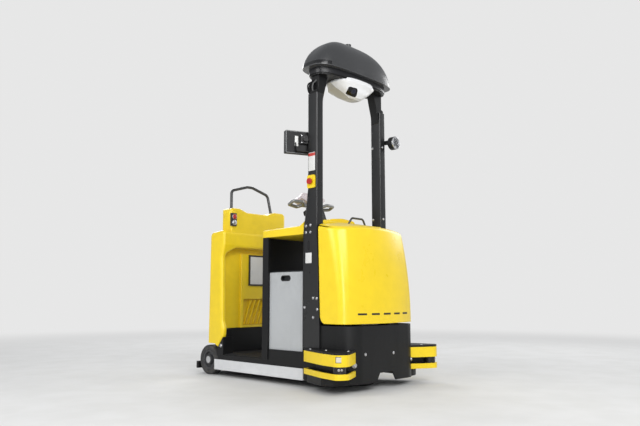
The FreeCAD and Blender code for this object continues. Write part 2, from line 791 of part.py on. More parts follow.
def bowed_wire(half, nose, rear, radius, bow, z):
    """Level outline of the hood: straight rear and sides, round corners and a bowed front."""
    across = half - radius
    centre = Vector(across, nose + bow - math.sqrt((bow - radius) ** 2 - across ** 2), z)
    swing = math.atan2(centre.y - nose - bow, across)
    joint, middle = (centre + Vector(math.cos(a), math.sin(a), 0) * radius for a in (swing, swing / 2))
    side, corner = Vector(half, centre.y, z), Vector(half, rear, z)
    curves = [Part.LineSegment(across_x(corner), across_x(side)),
              Part.Arc(across_x(side), across_x(middle), across_x(joint)),
              Part.Arc(across_x(joint), Vector(0, nose, z), joint),
              Part.Arc(joint, middle, side),
              Part.LineSegment(side, corner),
              Part.LineSegment(corner, across_x(corner))]
    return Part.Wire([curve.toShape() for curve in curves])


def across_x(point):
    """The same place on the machine's other side."""
    return Vector(-point.x, point.y, point.z)


def hood_solid(inset, rear_extra, low_extra):
    """The hood's outer form moved inwards by a wall, and let out at the rear and below for cutting.

    Its front leans back with the square of the height, and the corners grow rounder upwards.
    """
    sections = []
    for step in range(-1, 8):
        share = step / 6
        bend = share * abs(share)
        rear = v.hood_rear - v.hood_rake * (1 - share) + rear_extra
        half, nose = v.hood_half - inset - 3 * bend, v.hood_nose + inset + v.hood_lean * bend
        sections.append(bowed_wire(half, nose, rear, v.hood_radius - inset + 60 * bend, v.hood_bow - inset,
                                   v.hood_low + share * v.hood_side))
    sides = Part.makeLoft(sections, True, False)
    half = v.hood_half
    bulge = (half ** 2 + v.hood_crown ** 2) / (2 * v.hood_crown)
    crest = v.hood_top + v.hood_crown - inset
    lean = math.radians(v.hood_slope)
    run = Vector(0, -math.cos(lean), -math.sin(lean))
    up = Vector(0, -math.sin(lean), math.cos(lean))
    start = Vector(0, v.hood_rear, crest) - up * bulge - run * 300
    floor = Part.makeBox(1200, 1200, 600, Vector(-600, v.hood_nose - 300, v.hood_low - low_extra - 600))
    return sides.common(Part.makeCylinder(bulge, 1200, start, run)).cut(floor)


def front_hood():
    """Moulded yellow hood: hollow, open at the rear and below, crowned across and falling forward."""
    outer = hood_solid(0, 0, 0)
    rims = [edge for edge in outer.Edges
            if edge.CenterOfMass.z > v.hood_top - 90 and edge.CenterOfMass.y < v.hood_rear - 12]
    outer = outer.makeFillet(42, rims)
    shell = outer.cut(hood_solid(v.hood_wall, 40, 40))
    corner, rear = 50, v.hood_rear - v.hood_rake
    notch = Part.makeBox(1200, corner + 30, corner + 10, Vector(-600, rear - corner, v.hood_low - 10))
    keep = Part.makeCylinder(corner, 1200, Vector(-600, rear - corner, v.hood_low + corner), Vector(1, 0, 0))
    shell = shell.cut(notch.cut(keep))
    return piece(shaped("hood_shape", shell.fuse(hinge_ears()).removeSplitter()), "front_hood")


def hood_handle():
    """Black grab bow on the hood's rear top edge."""
    z, y = v.hood_top + v.hood_crown, v.hood_rear - 26
    bow = tube([(-105, y, z - 20), (-66, y - 4, z + 38), (66, y - 4, z + 38), (105, y, z - 20)], 8, 30)
    return piece(shaped("handle_shape", bow.cut(hood_solid(0, 0, 0))), "hood_handle")


def dash_cover():
    """Yellow cover between the pillars, behind the hood."""
    body = doc.addObject("PartDesign::Body", "dash_body")
    inner = "(pillar_out - pillar_wide - 2)"
    lid = pad(body, "YZ", "-" + inner, inner, [
        ("bay_front + 7", "bay_top"), ("bay_front + 7", "dash_top"), ("hood_rear + moving_gap", "dash_top"),
        ("hood_rear + moving_gap", "bay_top"),
    ], "dash")
    soften(body, lid, "8", lambda e: along(e, 0) and e.CenterOfMass.z > v.bay_top + 40, "dash_round")
    return piece(body, "dash_cover")


# ---------------------------------------------------------------- steering console

def lean(y, z):
    """A place beside the steering axis: y along the leaning plate, z up the axis."""
    angle = math.radians(v.head_lean)
    return (v.steer_y + y * math.cos(angle) + z * math.sin(angle),
            v.steer_z - y * math.sin(angle) + z * math.cos(angle))


def steering_console(covers):
    """Yellow cowl on the covers, and behind it the black column that carries the steering head."""
    foot, half = v.cover_top - 20, v.cowl_half
    top = v.cover_top + v.cowl_high
    nose, heel = v.bay_front - 30, v.steer_y - 240
    cowl = front_prism([(-half, foot, 0), (half, foot, 0), (half - 12, top - 14, 34), (0, top, 300),
                        (12 - half, top - 14, 34)], nose, heel)
    column = side_prism([(heel, foot, 0), (heel, v.cover_top + 58, 20), (v.steer_y - 107, v.cover_top + 92, 40),
                         (*lean(-62, 0), 10), (*lean(58, 0), 10), (*lean(62, -34), 16), (*lean(10, -100), 40),
                         (v.steer_y - 62, v.cover_top + 40, 30), (v.steer_y - 84, foot, 0)],
                        -v.console_half, v.console_half)
    doc.recompute()
    under = [cover.Shape for cover in covers]
    piece(shaped("cowl_shape", cowl.cut(under)), "console_cowl")
    piece(shaped("console_shape", column.cut(under)), "steering_console")


def steering_head():
    """Round hub with a bar and a closed loop at each hand."""
    angle = math.radians(v.head_lean)
    axis = Vector(0, math.sin(angle), math.cos(angle))
    base = Vector(0, *lean(0, v.joint_gap))
    head = Part.makeCylinder(v.hub_radius, v.hub_high, base, axis)
    half = v.grip_half
    for side in (-1, 1):
        spots = [(30, 0, 20), (0.46 * half, -4, 25), (0.6 * half, 38, 28), (half, 26, 34), (half, -30, 34),
                 (0.6 * half, -42, 28), (0.44 * half, -4, 25)]
        points = [(side * x, *lean(y, z)) for x, y, z in spots]
        head = head.fuse(tube(points, v.grip_tube, 14))
    return piece(shaped("head_shape", head), "steering_head")


def display_pod():
    """Wide display on top of the steering hub, chamfered below and at its shoulders."""
    pod = front_prism([(-80, 0, 6), (80, 0, 6), (140, 30, 8), (140, 50, 12), (104, 84, 12), (-104, 84, 12),
                       (-140, 50, 12), (-140, 30, 8)], -v.hub_radius, v.hub_radius)
    pod.Placement = Placement(Vector(0, *lean(0, v.joint_gap + v.hub_high)),
                              Rotation(Vector(1, 0, 0), -v.head_lean))
    return piece(shaped("pod_shape", pod), "display_pod")


# ---------------------------------------------------------------- mast

def pillar(label, sign):
    """Box-section pillar with a foot plate bolted to the side of the chassis."""
    body = doc.addObject("PartDesign::Body", label + "_body")
    low, high = "pillar_out - pillar_wide", "pillar_out"
    x = (low, high) if sign > 0 else ("-(" + high + ")", "-(" + low + ")")
    post = pad(body, "XY", "box_top", "pillar_top", [
        (x[0], "pillar_front"), (x[1], "pillar_front"), (x[1], "pillar_rear"), (x[0], "pillar_rear"),
    ], label + "_post")
    post = soften(body, post, "pillar_round", lambda e: along(e, 2), label + "_bevel")
    plate = ("pillar_out - foot_thick", "pillar_out")
    span = plate if sign > 0 else ("-pillar_out", "foot_thick - pillar_out")
    pad(body, "YZ", span[0], span[1], [
        ("bay_front", "foot_low"), ("bay_front", "flare_low"), ("pillar_rear - 4", "flare_high"),
        ("pillar_front + 8", "flare_high"), ("pillar_front + 8", "hood_top + 30"),
        ("foot_front", "hood_low"), ("foot_front", "foot_low"),
    ], label + "_foot")
    return piece(body, label)


def head_brackets():
    """Gussets that lean in from the tops of both pillars to the head tray."""
    gussets = []
    for label, side in (("left", ""), ("right", "-")):
        body = doc.addObject("PartDesign::Body", "gusset_body_" + label)
        corners = [("pillar_out - pillar_wide", "pillar_top - 95"), ("pillar_out - pillar_wide", "pillar_top"),
                   ("pillar_out - 7", "pillar_top"), ("pillar_out - 7", "pillar_top + 22"),
                   ("pillar_out - 30", "pillar_top + 34"), ("pillar_out - 30", "tray_low"),
                   ("pillar_out - 127", "tray_low"), ("pillar_out - 112", "tray_low - 62"),
                   ("pillar_out - 82", "pillar_top - 20")]
        pad(body, "XZ", "-(pillar_rear - 12)", "-(pillar_front + 12)",
            [(side + "(" + x + ")", z) for x, z in corners], "gusset_" + label)
        gussets.append(body)
    return piece(group("gussets", gussets), "head_brackets")


def head_tray():
    """Carrier plate under the mast head."""
    wire = superellipse((0, v.head_y), v.head_half - 56, v.head_deep - 38, 3.2, v.tray_low)
    return piece(shaped("tray_shape", Part.Face(wire).extrude(Vector(0, 0, v.tray_thick))), "head_tray")


def scan_window():
    """Dark band round the navigation scanner, between the tray and the cover."""
    wire = superellipse((0, v.head_y), v.head_half - 50, v.head_deep - 32, 3.2, v.tray_low + v.tray_thick)
    return piece(shaped("window_shape", Part.Face(wire).extrude(Vector(0, 0, v.band_high))), "scan_window")


def mast_cover():
    """Streamlined dome: superellipse sections that close in towards the crown."""
    wires = []
    for share in (0, 0.12, 0.27, 0.43, 0.58, 0.72, 0.84, 0.93, 0.985):
        across = (1 - share ** 1.5) ** (1 / 2.6)
        along_y = (1 - share ** 2.77) ** (1 / 1.6)
        wires.append(superellipse((0, v.head_y), v.head_half * across, v.head_deep * along_y, 3.46,
                                  v.rim_z + v.cover_high * share))
    return piece(shaped("cover_shape", Part.makeLoft(wires, True, False)), "mast_cover")


def top_antenna():
    """Flat round antenna let into the crown."""
    return piece(rod("antenna_disc", "antenna_radius", "antenna_high",
                     ("0", "head_y", "rim_z + 0.985 * cover_high")), "top_antenna")


def camera_form(grow=0.0):
    """Pale pod that hangs at the tray, its sides and front drawn in to a narrow keel."""
    levels = [(-v.pod_rise, 0.94, 0.95, 0), (0.12 * v.pod_high, 1, 1, 0), (0.42 * v.pod_high, 0.83, 0.99, 17),
              (0.71 * v.pod_high, 0.55, 0.79, -4), (v.pod_high, 0.29, 0.46, -26)]
    wires = [superellipse((0, v.pod_y + back), v.pod_half * across + grow, v.pod_deep * deep + grow, 2.8,
                          v.tray_low - drop) for drop, across, deep, back in levels]
    return Part.makeLoft(wires, True, True)


def camera_housing(tray):
    """The camera pod under the mast head, hooked over the tray's front edge."""
    step = Part.Face(superellipse((0, v.head_y), v.head_half - 50, v.head_deep - 32, 3.2, v.tray_low))
    whole = camera_form().cut([tray.Shape, step.extrude(Vector(0, 0, v.tray_thick + v.pod_rise))])
    whole = max(whole.Solids, key=lambda solid: solid.Volume)
    return piece(shaped("camera_shape", whole), "camera_housing")


def camera_window():
    """Dark square window on the pod's front, beside its middle."""
    skin = camera_form(3).cut(camera_form())
    right, left = v.pod_x - v.pane_half, v.pod_x + v.pane_half
    high = v.tray_low - v.pane_drop
    low = high - 1.6 * v.pane_half
    frame = front_prism([(right, low, 8), (left, low, 8), (left, high, 8), (right, high, 8)],
                        v.pod_y - v.pod_deep - 20, v.pod_y - v.pod_deep / 4)
    return piece(shaped("camera_glass", skin.common(frame)), "camera_window")


def operator_screen():
    """Flat screen behind the right pillar, turned towards the operator."""
    wide = v.screen_wide
    screen = Part.makeBox(wide, 40, v.screen_high, Vector(-wide / 2, -20, 0))
    screen = screen.makeFillet(6, [e for e in screen.Edges if along(e, 1)])
    screen.Placement = Placement(Vector(-v.pillar_out - 39, v.pillar_rear + 66, v.screen_low),
                                 Rotation(Vector(0, 0, 1), v.screen_turn))
    return piece(shaped("screen_shape", screen), "operator_screen"), screen


def screen_bracket(screen):
    """Arm from the pillar's rear face to the screen's back."""
    middle = v.screen_low + v.screen_high / 2
    arm = Part.makeBox(44, 60, 60, Vector(12 - v.pillar_out, v.pillar_rear, middle - 30))
    arm = max(arm.cut(screen).Solids, key=lambda s: -s.CenterOfMass.y)
    return piece(shaped("arm_shape", arm), "screen_bracket")


def stop_switch():
    """Yellow plate with a red mushroom button on the right pillar's outer side."""
    middle, face = "pillar_front + 55", "pillar_out + switch_thick"
    body = doc.addObject("PartDesign::Body", "switch_body")
    plate = pad(body, "YZ", "-(" + face + ")", "-pillar_out", [
        (middle + " - switch_wide / 2", "switch_z - switch_high / 2"),
        (middle + " + switch_wide / 2", "switch_z - switch_high / 2"),
        (middle + " + switch_wide / 2", "switch_z + switch_high / 2"),
        (middle + " - switch_wide / 2", "switch_z + switch_high / 2"),
    ], "switch_plate")
    soften(body, plate, "switch_round", lambda e: along(e, 0), "switch_corners")
    piece(body, "stop_plate")
    stem = rod("stop_stem", "button_radius - 8", "9", ("-(" + face + ")", middle, "switch_z"), Vector(-1, 0, 0))
    cap = rod("stop_cap", "button_radius", "13", ("-(" + face + ") - 8", middle, "switch_z"), Vector(-1, 0, 0))
    piece(joined("stop_joined", [stem, cap]), "stop_button")


def forward_lamp():
    """Round lamp on an angle bracket at the left pillar."""
    seat, side = "pillar_front - 23", "pillar_out"
    piece(rod("lamp_can", "lamp_radius", "lamp_deep", (side + " + lamp_radius + 3", seat, "lamp_z"),
              Vector(0, -1, 0)),
          "forward_lamp")
    height = ("lamp_z - 18", "lamp_z + 18")
    plate = block("lamp_plate", (side, side + " + 6"), (seat, "pillar_rear - 4"), height)
    arm = block("lamp_arm", (side, side + " + lamp_radius + 15"), (seat, seat + " + 10"), height)
    piece(joined("lamp_joined", [plate, arm]), "lamp_bracket")


# ---------------------------------------------------------------- corner guards

def guard_plan(low, high, inset=0.0):
    """Left guard between two heights: a plough that widens forward and turns a rounded corner."""
    half, nose = v.guard_half, v.nose_y
    deep = v.half_width - 150
    wire = rounded_wire([(deep, v.guard_rear, 0), (v.half_width + 50, v.guard_rear, 12),
                         (half - 32, v.guard_rear - 280, 240), (half + 4, nose + 40, 44),
                         (half - 74, nose - 3, 60), (v.half_width - 50, v.front_y + 4, 0),
                         (deep, v.front_y + 70, 0)], low)
    wire.translate(Vector(0, nose - wire.BoundBox.YMin, 0))
    if inset:
        wire = wire.makeOffset2D(-inset)
    return Part.Face(wire).extrude(Vector(0, 0, high - low))


def guards():
    """Black core, yellow bands and scanner of each front corner."""
    chassis = prism(front_outline(), 0, 700)
    thick = v.band_thick
    foot = Part.makeCylinder(v.foot_round, v.band_low, Vector(v.half_width - 30, v.guard_rear - 195, 0))
    layers = [guard_plan(v.ground_gap, v.band_low, thick).common(foot), guard_plan(v.band_low, v.slot_low, thick),
              guard_plan(v.slot_low, v.slot_high, 74), guard_plan(v.slot_high, v.band_top, thick),
              guard_plan(v.band_top, v.guard_top, 1)]
    centre = Vector(v.guard_half - 62, v.nose_y + 64, 0)
    scanner = Part.makeCylinder(v.scanner_radius, v.slot_high - v.slot_low, centre + Vector(0, 0, v.slot_low))
    core = layers[0].fuse(layers[1:]).cut([chassis, scanner]).removeSplitter()
    bands = []
    for low, high in ((v.band_low, v.slot_low), (v.slot_high, v.band_top)):
        ring = guard_plan(low, high).cut(guard_plan(low, high, thick))
        bands += ring.cut(chassis).Solids
    across = Vector(1, 0, 0)
    piece(shaped("core_left", core), "corner_guard_left")
    piece(shaped("core_right", core.mirror(Vector(), across)), "corner_guard_right")
    bands += [band.mirror(Vector(), across) for band in bands]
    piece(shaped("both_bands", Part.Compound(bands)), "guard_bands")
    scanners = [scanner, scanner.mirror(Vector(), across)]
    piece(shaped("both_scanners", Part.Compound(scanners)), "corner_scanners")


# ---------------------------------------------------------------- running gear

def wheel_pair(label, sign):
    """Rear wheel: a solid tyre on a capped hub that turns on a stub axle."""
    face, width = v.wheel_face, v.tyre_width
    inner = face - width
    profile = [(v.rim_radius, inner), (v.wheel_radius - 6, inner), (v.wheel_radius, inner + 6),
               (v.wheel_radius, face - 6), (v.wheel_radius - 6, face), (v.rim_radius, face)]
    tyre = turned(profile, v.axle_y, sign)
    bore = v.axle_radius + v.bearing_gap
    hub = turned([(bore, inner + 4), (v.rim_radius, inner + 4), (v.rim_radius, face - 4),
                  (v.rim_radius - 12, face - 4), (v.rim_radius - 20, face - 22), (v.cap_radius, face - 22),
                  (v.cap_radius - 6, face + 4), (0, face + 4), (0, face - 4), (bore, face - 4)], v.axle_y, sign)
    piece(shaped("tyre_shape_" + label, tyre), "rear_tyre_" + label)
    piece(shaped("hub_shape_" + label, hub), "rear_hub_" + label)


def turned(profile, y, sign):
    """A solid of revolution about a cross axle at wheel height; the profile holds (radius, x) pairs."""
    points = [Vector(sign * x, y, v.wheel_radius + radius) for radius, x in profile]
    face = Part.Face(Part.makePolygon(points + points[:1]))
    solid = face.revolve(Vector(0, y, v.wheel_radius), Vector(1, 0, 0), 360)
    return solid if solid.Volume > 0 else solid.reversed()


def rear_axles():
    """Two stub axles on the sides of the tail."""
    stubs = [rod("stub_left", "axle_radius", "wheel_face - 10 - tail_half",
                 ("tail_half", "axle_y", "wheel_radius"), Vector(1, 0, 0)),
             rod("stub_right", "axle_radius", "wheel_face - 10 - tail_half",
                 ("-tail_half", "axle_y", "wheel_radius"), Vector(-1, 0, 0))]
    return piece(group("stubs", stubs), "rear_axles")


def drive_unit():
    """Steered turret with a fork, the motor on top of it and the drive wheel between the fork's plates."""
    flange = rod("turret_flange", "well_radius + flange_lip", "flange_thick",
                 ("0", "drive_y", "box_top + joint_gap"))
    neck = rod("turret_neck", "well_radius - moving_gap", "box_top + joint_gap - turret_low",
               ("0", "drive_y", "turret_low"))
    wheel_half = "drive_width / 2 + 10"
    parts = [flange, neck]
    for side, x in (("left", (wheel_half, wheel_half + " + fork_thick")),
                    ("right", ("-(" + wheel_half + ") - fork_thick", "-(" + wheel_half + ")"))):
        parts.append(block("fork_" + side, x, ("drive_y - fork_half", "drive_y + fork_half"),
                           ("wheel_radius - fork_drop", "turret_low")))
    parts.append(rod("drive_shaft", "axle_radius", "drive_width + 20 + 2 * fork_thick",
                     ("-(drive_width / 2 + 10 + fork_thick)", "drive_y", "wheel_radius"), Vector(1, 0, 0)))
    piece(joined("turret_joined", parts), "drive_turret")
    piece(rod("motor_can", "motor_radius", "motor_high", ("0", "drive_y", "motor_low")), "drive_motor")
    half = v.drive_width / 2
    tyre = turned([(v.rim_radius, -half), (v.wheel_radius - 5, -half), (v.wheel_radius, 5 - half),
                   (v.wheel_radius, half - 5), (v.wheel_radius - 5, half), (v.rim_radius, half)], v.drive_y, 1)
    bore = v.axle_radius + v.bearing_gap
    hub = turned([(bore, -half - 4), (40, -half - 4), (44, -half + 14), (v.rim_radius, -half + 14),
                  (v.rim_radius, half - 14), (44, half - 14), (40, half + 4), (bore, half + 4)], v.drive_y, 1)
    piece(shaped("drive_tyre_shape", tyre), "drive_tyre")
    piece(shaped("drive_hub_shape", hub), "drive_hub")


# ---------------------------------------------------------------- assembly

main_frame()
floor_mat()
side_strips()
kick_plate()
rear_bumper()
tow_hitch()
backrest_shell()
rear_panel()
document_holder()
grab_loop()
button_box()
bay_frame()
bulkhead()
battery()
battery_panels()
lid = battery_cover()
front_box()
front_hood()
hood_handle()
steering_console([lid, dash_cover()])
steering_head()
display_pod()
pillar("pillar_right", -1)
pillar("pillar_left", 1)
head_brackets()
camera_housing(head_tray())
scan_window()
mast_cover()
top_antenna()
camera_window()
screen_bracket(operator_screen()[1])
stop_switch()
forward_lamp()
guards()
rear_axles()
wheel_pair("left", 1)
wheel_pair("right", -1)
drive_unit()

doc.recompute()
for item in doc.Objects:
    if "Invalid" in item.State or "Error" in item.State:
        raise RuntimeError(f"{item.Label}: {item.State}")
for item in PIECES:
    shape = item.Shape
    if shape.isNull() or not shape.isValid() or shape.Volume <= 0:
        raise RuntimeError(f"{item.Label}: bad shape")

os.makedirs("parts", exist_ok=True)
for item in PIECES:
    item.Shape.exportStep(f"parts/{item.Label}.step")
    box = item.Shape.BoundBox
    print(f"{item.Label:22s} solids {len(item.Shape.Solids)}  x {box.XMin:8.1f} {box.XMax:8.1f}"
          f"  y {box.YMin:8.1f} {box.YMax:8.1f}  z {box.ZMin:8.1f} {box.ZMax:8.1f}"
          f"  litres {item.Shape.Volume / 1e6:8.3f}")
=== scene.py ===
"""Looks of an automated stand-on tow tractor: its finishes, fittings, light and camera."""

import json
import math

import bmesh
import bpy
import numpy as np
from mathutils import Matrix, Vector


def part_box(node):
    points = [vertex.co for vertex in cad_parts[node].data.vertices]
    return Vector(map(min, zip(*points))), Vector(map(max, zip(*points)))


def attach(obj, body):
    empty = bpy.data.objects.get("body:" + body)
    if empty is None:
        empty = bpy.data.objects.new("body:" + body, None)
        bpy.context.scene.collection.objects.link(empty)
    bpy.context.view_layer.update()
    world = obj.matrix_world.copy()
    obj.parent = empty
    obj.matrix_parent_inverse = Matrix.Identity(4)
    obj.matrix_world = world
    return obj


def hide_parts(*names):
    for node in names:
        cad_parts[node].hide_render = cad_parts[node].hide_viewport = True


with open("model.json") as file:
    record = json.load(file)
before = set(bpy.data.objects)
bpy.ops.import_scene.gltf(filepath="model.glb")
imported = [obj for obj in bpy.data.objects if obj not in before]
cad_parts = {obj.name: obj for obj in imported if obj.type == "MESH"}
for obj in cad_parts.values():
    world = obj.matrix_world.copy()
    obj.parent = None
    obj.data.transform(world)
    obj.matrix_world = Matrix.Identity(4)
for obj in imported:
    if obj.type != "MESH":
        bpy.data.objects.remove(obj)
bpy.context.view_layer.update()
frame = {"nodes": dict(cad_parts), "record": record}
nodes = frame["nodes"]


# ---------------------------------------------------------------- places, from the frame where it has them

def corners(node):
    """Lowest and highest corner of a node as arrays."""
    low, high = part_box(node)
    return np.array(low), np.array(high)


def front_of(node):
    """Middle of a node's front face."""
    low, high = corners(node)
    return np.array([(low[0] + high[0]) / 2, low[1], (low[2] + high[2]) / 2])


PILLAR_SIDE = corners("pillar_left")[1][0]              # outer face of both pillars
PILLAR_INNER = corners("pillar_left")[0][0]
PILLAR_FRONT = corners("pillar_left")[0][1] + 0.024     # front face at its bolts, behind the foot's
GUARD_TOP = corners("corner_guard_left")[1][2]
MAT_TOP = corners("floor_mat")[1][2]
SHELL_SIDE = corners("backrest_shell")[1][0]
PANEL_SIDE = corners("battery_panels")[1][0]
HAND_HOLE = (-0.187, corners("battery_panels")[1][2] - 0.047)   # y and z of its middle
COVER_LOW = corners("mast_cover")[0][2]
TRAY_LOW = corners("head_tray")[0][2]
WHEEL_RADIUS = 0.125
AXLE_Y = sum(c[1] for c in corners("rear_tyre_left")) / 2
DRIVE_Y = sum(c[1] for c in corners("drive_tyre")) / 2
FRONT_FACE = -0.860                                     # flat front of the steel box
HOOD_BOW = 1.216                                        # radius of the hood's front in plan
HOOD_SKIN = -0.865                                      # inside its wall, at the height of the dashes
POD_JOINT = -0.572                                      # white shield in front of it, tub behind painted cream as shade
PANE_SPOT = (-0.0770, -0.6147, 2.2658)                  # middle of the camera's pane
SIDES = (("left", 1), ("right", -1))
X, Y, Z = np.eye(3)


# ---------------------------------------------------------------- shapes

def turned(profile, centre, axis, sides=32):
    """Lathe form: centre + height * axis + radius * (cos t * u + sin t * w), for each (radius, height)."""
    axis = np.array(axis, float) / np.linalg.norm(axis)
    u = np.cross(axis, (0.31, 0.52, 0.79) if abs(axis[2]) < 0.9 else (1, 0, 0))
    u /= np.linalg.norm(u)
    t = np.linspace(0, 2 * np.pi, sides, endpoint=False)[:, None]
    ring = np.cos(t) * u + np.sin(t) * np.cross(axis, u)
    radius, height = np.array(profile, float).T[:, :, None, None]
    return np.array(centre, float) + height * axis + radius * ring


def curve_through(points, count=60):
    """Smooth path: each coordinate is a cubic through the given points, spaced by their distances."""
    points = np.array(points, float)
    knots = np.r_[0, np.cumsum(np.linalg.norm(np.diff(points, axis=0), axis=1))]
    slope = np.gradient(points, knots, axis=0)
    s = np.linspace(0, knots[-1], count)
    k = np.clip(np.searchsorted(knots, s, side="right") - 1, 0, len(knots) - 2)
    step = (knots[k + 1] - knots[k])[:, None]
    t = (s - knots[k])[:, None] / step
    return ((1 + 2 * t) * (1 - t) ** 2 * points[k] + t * (1 - t) ** 2 * step * slope[k]
            + t ** 2 * (3 - 2 * t) * points[k + 1] + t ** 2 * (t - 1) * step * slope[k + 1])


def pipe(path, radius, sides=14, across=(0.13, 0.21, 0.97), ends=True):
    """Pipe: path(s) + radius(s) * (cos t * n + sin t * b), with n and b square to the path.

    With ends, the path's first and last points are doubled with no radius, which closes it.
    """
    path = np.array(path, float)
    radius = np.broadcast_to(np.array(radius, float), len(path))
    if ends:
        path = np.r_[path[:1], path, path[-1:]]
        radius = np.r_[0, radius, 0]
    run = np.gradient(path, axis=0)
    if ends:
        run[0], run[-1] = path[2] - path[1], path[-2] - path[-3]
        run[0], run[1], run[-1], run[-2] = run[0], run[0], -run[-1], -run[-1]
    run /= np.linalg.norm(run, axis=1)[:, None]
    n = np.cross(run, across)
    n /= np.linalg.norm(n, axis=1)[:, None]
    b = np.cross(run, n)
    t = np.linspace(0, 2 * np.pi, sides, endpoint=False)[None, :, None]
    return path[:, None] + radius[:, None, None] * (np.cos(t) * n[:, None] + np.sin(t) * b[:, None])


def rounded_loop(half_u, half_w, radius, count=6):
    """Round-cornered rectangle: corner centres, each with radius * (cos a, sin a) over a quarter turn."""
    a = np.linspace(0, np.pi / 2, count)[None, :] + np.pi / 2 * np.arange(4)[:, None]
    middle = np.pi / 4 + np.pi / 2 * np.arange(4)[:, None]
    u = np.sign(np.cos(middle)) * (half_u - radius) + radius * np.cos(a)
    w = np.sign(np.sin(middle)) * (half_w - radius) + radius * np.sin(a)
    return u.ravel(), w.ravel()


def plate(centre, u_way, w_way, half_u, half_w, radius, profile):
    """Plate: round-cornered loops drawn in by each inset and raised by each height along u x w."""
    u_way, w_way = np.array(u_way, float), np.array(w_way, float)
    out = np.cross(u_way, w_way)
    rows = []
    for inset, height in profile:
        u, w = rounded_loop(max(half_u - inset, 0), max(half_w - inset, 0), max(radius - inset, 0))
        rows.append(np.array(centre, float) + u[:, None] * u_way + w[:, None] * w_way + height * out)
    return np.array(rows)


def slab(thick, edge, half):
    """Profile of a flat plate: up its side, over a small round edge, and in to its middle."""
    a = np.linspace(0, np.pi / 2, 4)
    rim = [(edge * (1 - math.cos(t)), thick - edge + edge * math.sin(t)) for t in a]
    return [(half, 0), (0, 0)] + rim + [(half, thick)]


def blade(points, thick):
    """Thin plate: the outline drawn out by a vector, closed to its middle on both faces."""
    points, thick = np.array(points, float), np.array(thick, float)
    middle = np.broadcast_to(points.mean(axis=0), points.shape)
    return np.array([middle, points, points + thick, middle + thick])


def add_closed(whole, grid, wrap):
    """Adds one grid to the whole as a closed form: doubles merged, open rims filled, faces outward."""
    rows, columns = grid.shape[:2]
    index = np.arange(rows * columns).reshape(rows, columns)
    right = np.roll(index, -1, axis=1) if wrap else index[:, 1:]
    left = index if wrap else index[:, :-1]
    faces = np.stack([left[:-1], right[:-1], right[1:], left[1:]], axis=-1).reshape(-1, 4)
    mesh = bpy.data.meshes.new("grid")
    mesh.from_pydata(grid.reshape(-1, 3).tolist(), [], faces.tolist())
    work = bmesh.new()
    work.from_mesh(mesh)
    bmesh.ops.remove_doubles(work, verts=work.verts, dist=1e-6)
    bmesh.ops.dissolve_degenerate(work, edges=work.edges, dist=1e-7)
    bmesh.ops.holes_fill(work, edges=[edge for edge in work.edges if edge.is_boundary], sides=0)
    bmesh.ops.recalc_face_normals(work, faces=work.faces)
    if work.calc_volume(signed=True) < 0:
        bmesh.ops.reverse_faces(work, faces=work.faces)
    work.to_mesh(mesh)
    work.free()
    whole.from_mesh(mesh)
    bpy.data.meshes.remove(mesh)


def piece(name, finish, grids, body="chassis", wrap=True, replaces=()):
    """One mesh from grids of points; every grid closes round its columns, unless wrap is False."""
    whole = bmesh.new()
    for grid in grids:
        add_closed(whole, grid, wrap)
    mesh = bpy.data.meshes.new(name)
    whole.to_mesh(mesh)
    whole.free()
    return placed(name, mesh, finish, body, replaces)


def placed(name, mesh, finish, body, replaces=(), angle=38):
    """Puts a mesh in the scene: finish, smooth faces with sharp edges kept, and the body it rides on."""
    mesh.shade_smooth()
    mesh.set_sharp_from_angle(angle=math.radians(angle))
    mesh.materials.append(finish)
    item = bpy.data.objects.new(name, mesh)
    bpy.context.scene.collection.objects.link(item)
    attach(item, body)
    if replaces:
        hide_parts(*replaces)
    return item


def joined_copy(node, body, slot, angle=26):
    """A copy of a CAD node with its loose triangles joined, so that light runs smoothly over its curves."""
    source = nodes[node].data
    spots = np.empty(3 * len(source.vertices), np.float32)
    source.vertices.foreach_get("co", spots)
    turns = np.empty(len(source.loops), np.int32)
    source.loops.foreach_get("vertex_index", turns)
    spots = spots.reshape(-1, 3)
    _, first, same = np.unique(np.round(spots, 6), axis=0, return_index=True, return_inverse=True)
    faces = same.ravel()[turns].reshape(-1, 3)
    whole = ((faces[:, 0] != faces[:, 1]) & (faces[:, 1] != faces[:, 2]) & (faces[:, 2] != faces[:, 0]))
    mesh = bpy.data.meshes.new(node + "_skin")
    mesh.from_pydata(spots[first].tolist(), [], faces[whole].tolist())
    return placed(node + "_skin", mesh, FINISHES[slot].material, body, (node,), angle)


# ---------------------------------------------------------------- shader maths

class Value:
    """A socket with one value per point; Python operators on it add Math nodes."""

    def __init__(self, finish, socket):
        self.finish, self.socket = finish, socket

    def math(self, operation, *values):
        return self.finish.node("Math", {"operation": operation}, dict(enumerate(values)))

    def __add__(self, other):
        return self.math("ADD", self, other)

    def __sub__(self, other):
        return self.math("SUBTRACT", self, other)

    def __rsub__(self, other):
        return self.math("SUBTRACT", other, self)

    def __mul__(self, other):
        return self.math("MULTIPLY", self, other)

    def __truediv__(self, other):
        return self.math("DIVIDE", self, other)

    def __pow__(self, other):
        return self.math("POWER", self, other)

    def __lt__(self, other):
        return self.math("LESS_THAN", self, other)

    def __abs__(self):
        return self.math("ABSOLUTE", self)

    __radd__, __rmul__ = __add__, __mul__

    def most(self, other):
        return self.math("MAXIMUM", self, other)

    def rise(self, low, high):
        """Smooth step from 0 at low to 1 at high."""
        return self.finish.node("MapRange", {"interpolation_type": "SMOOTHSTEP"},
                                {"Value": self, "From Min": low, "From Max": high})

    def within(self, low, high, soft=0.0005):
        """1 between low and high, 0 outside, with soft rims."""
        return self.rise(low - soft, low + soft) * (1 - self.rise(high - soft, high + soft))


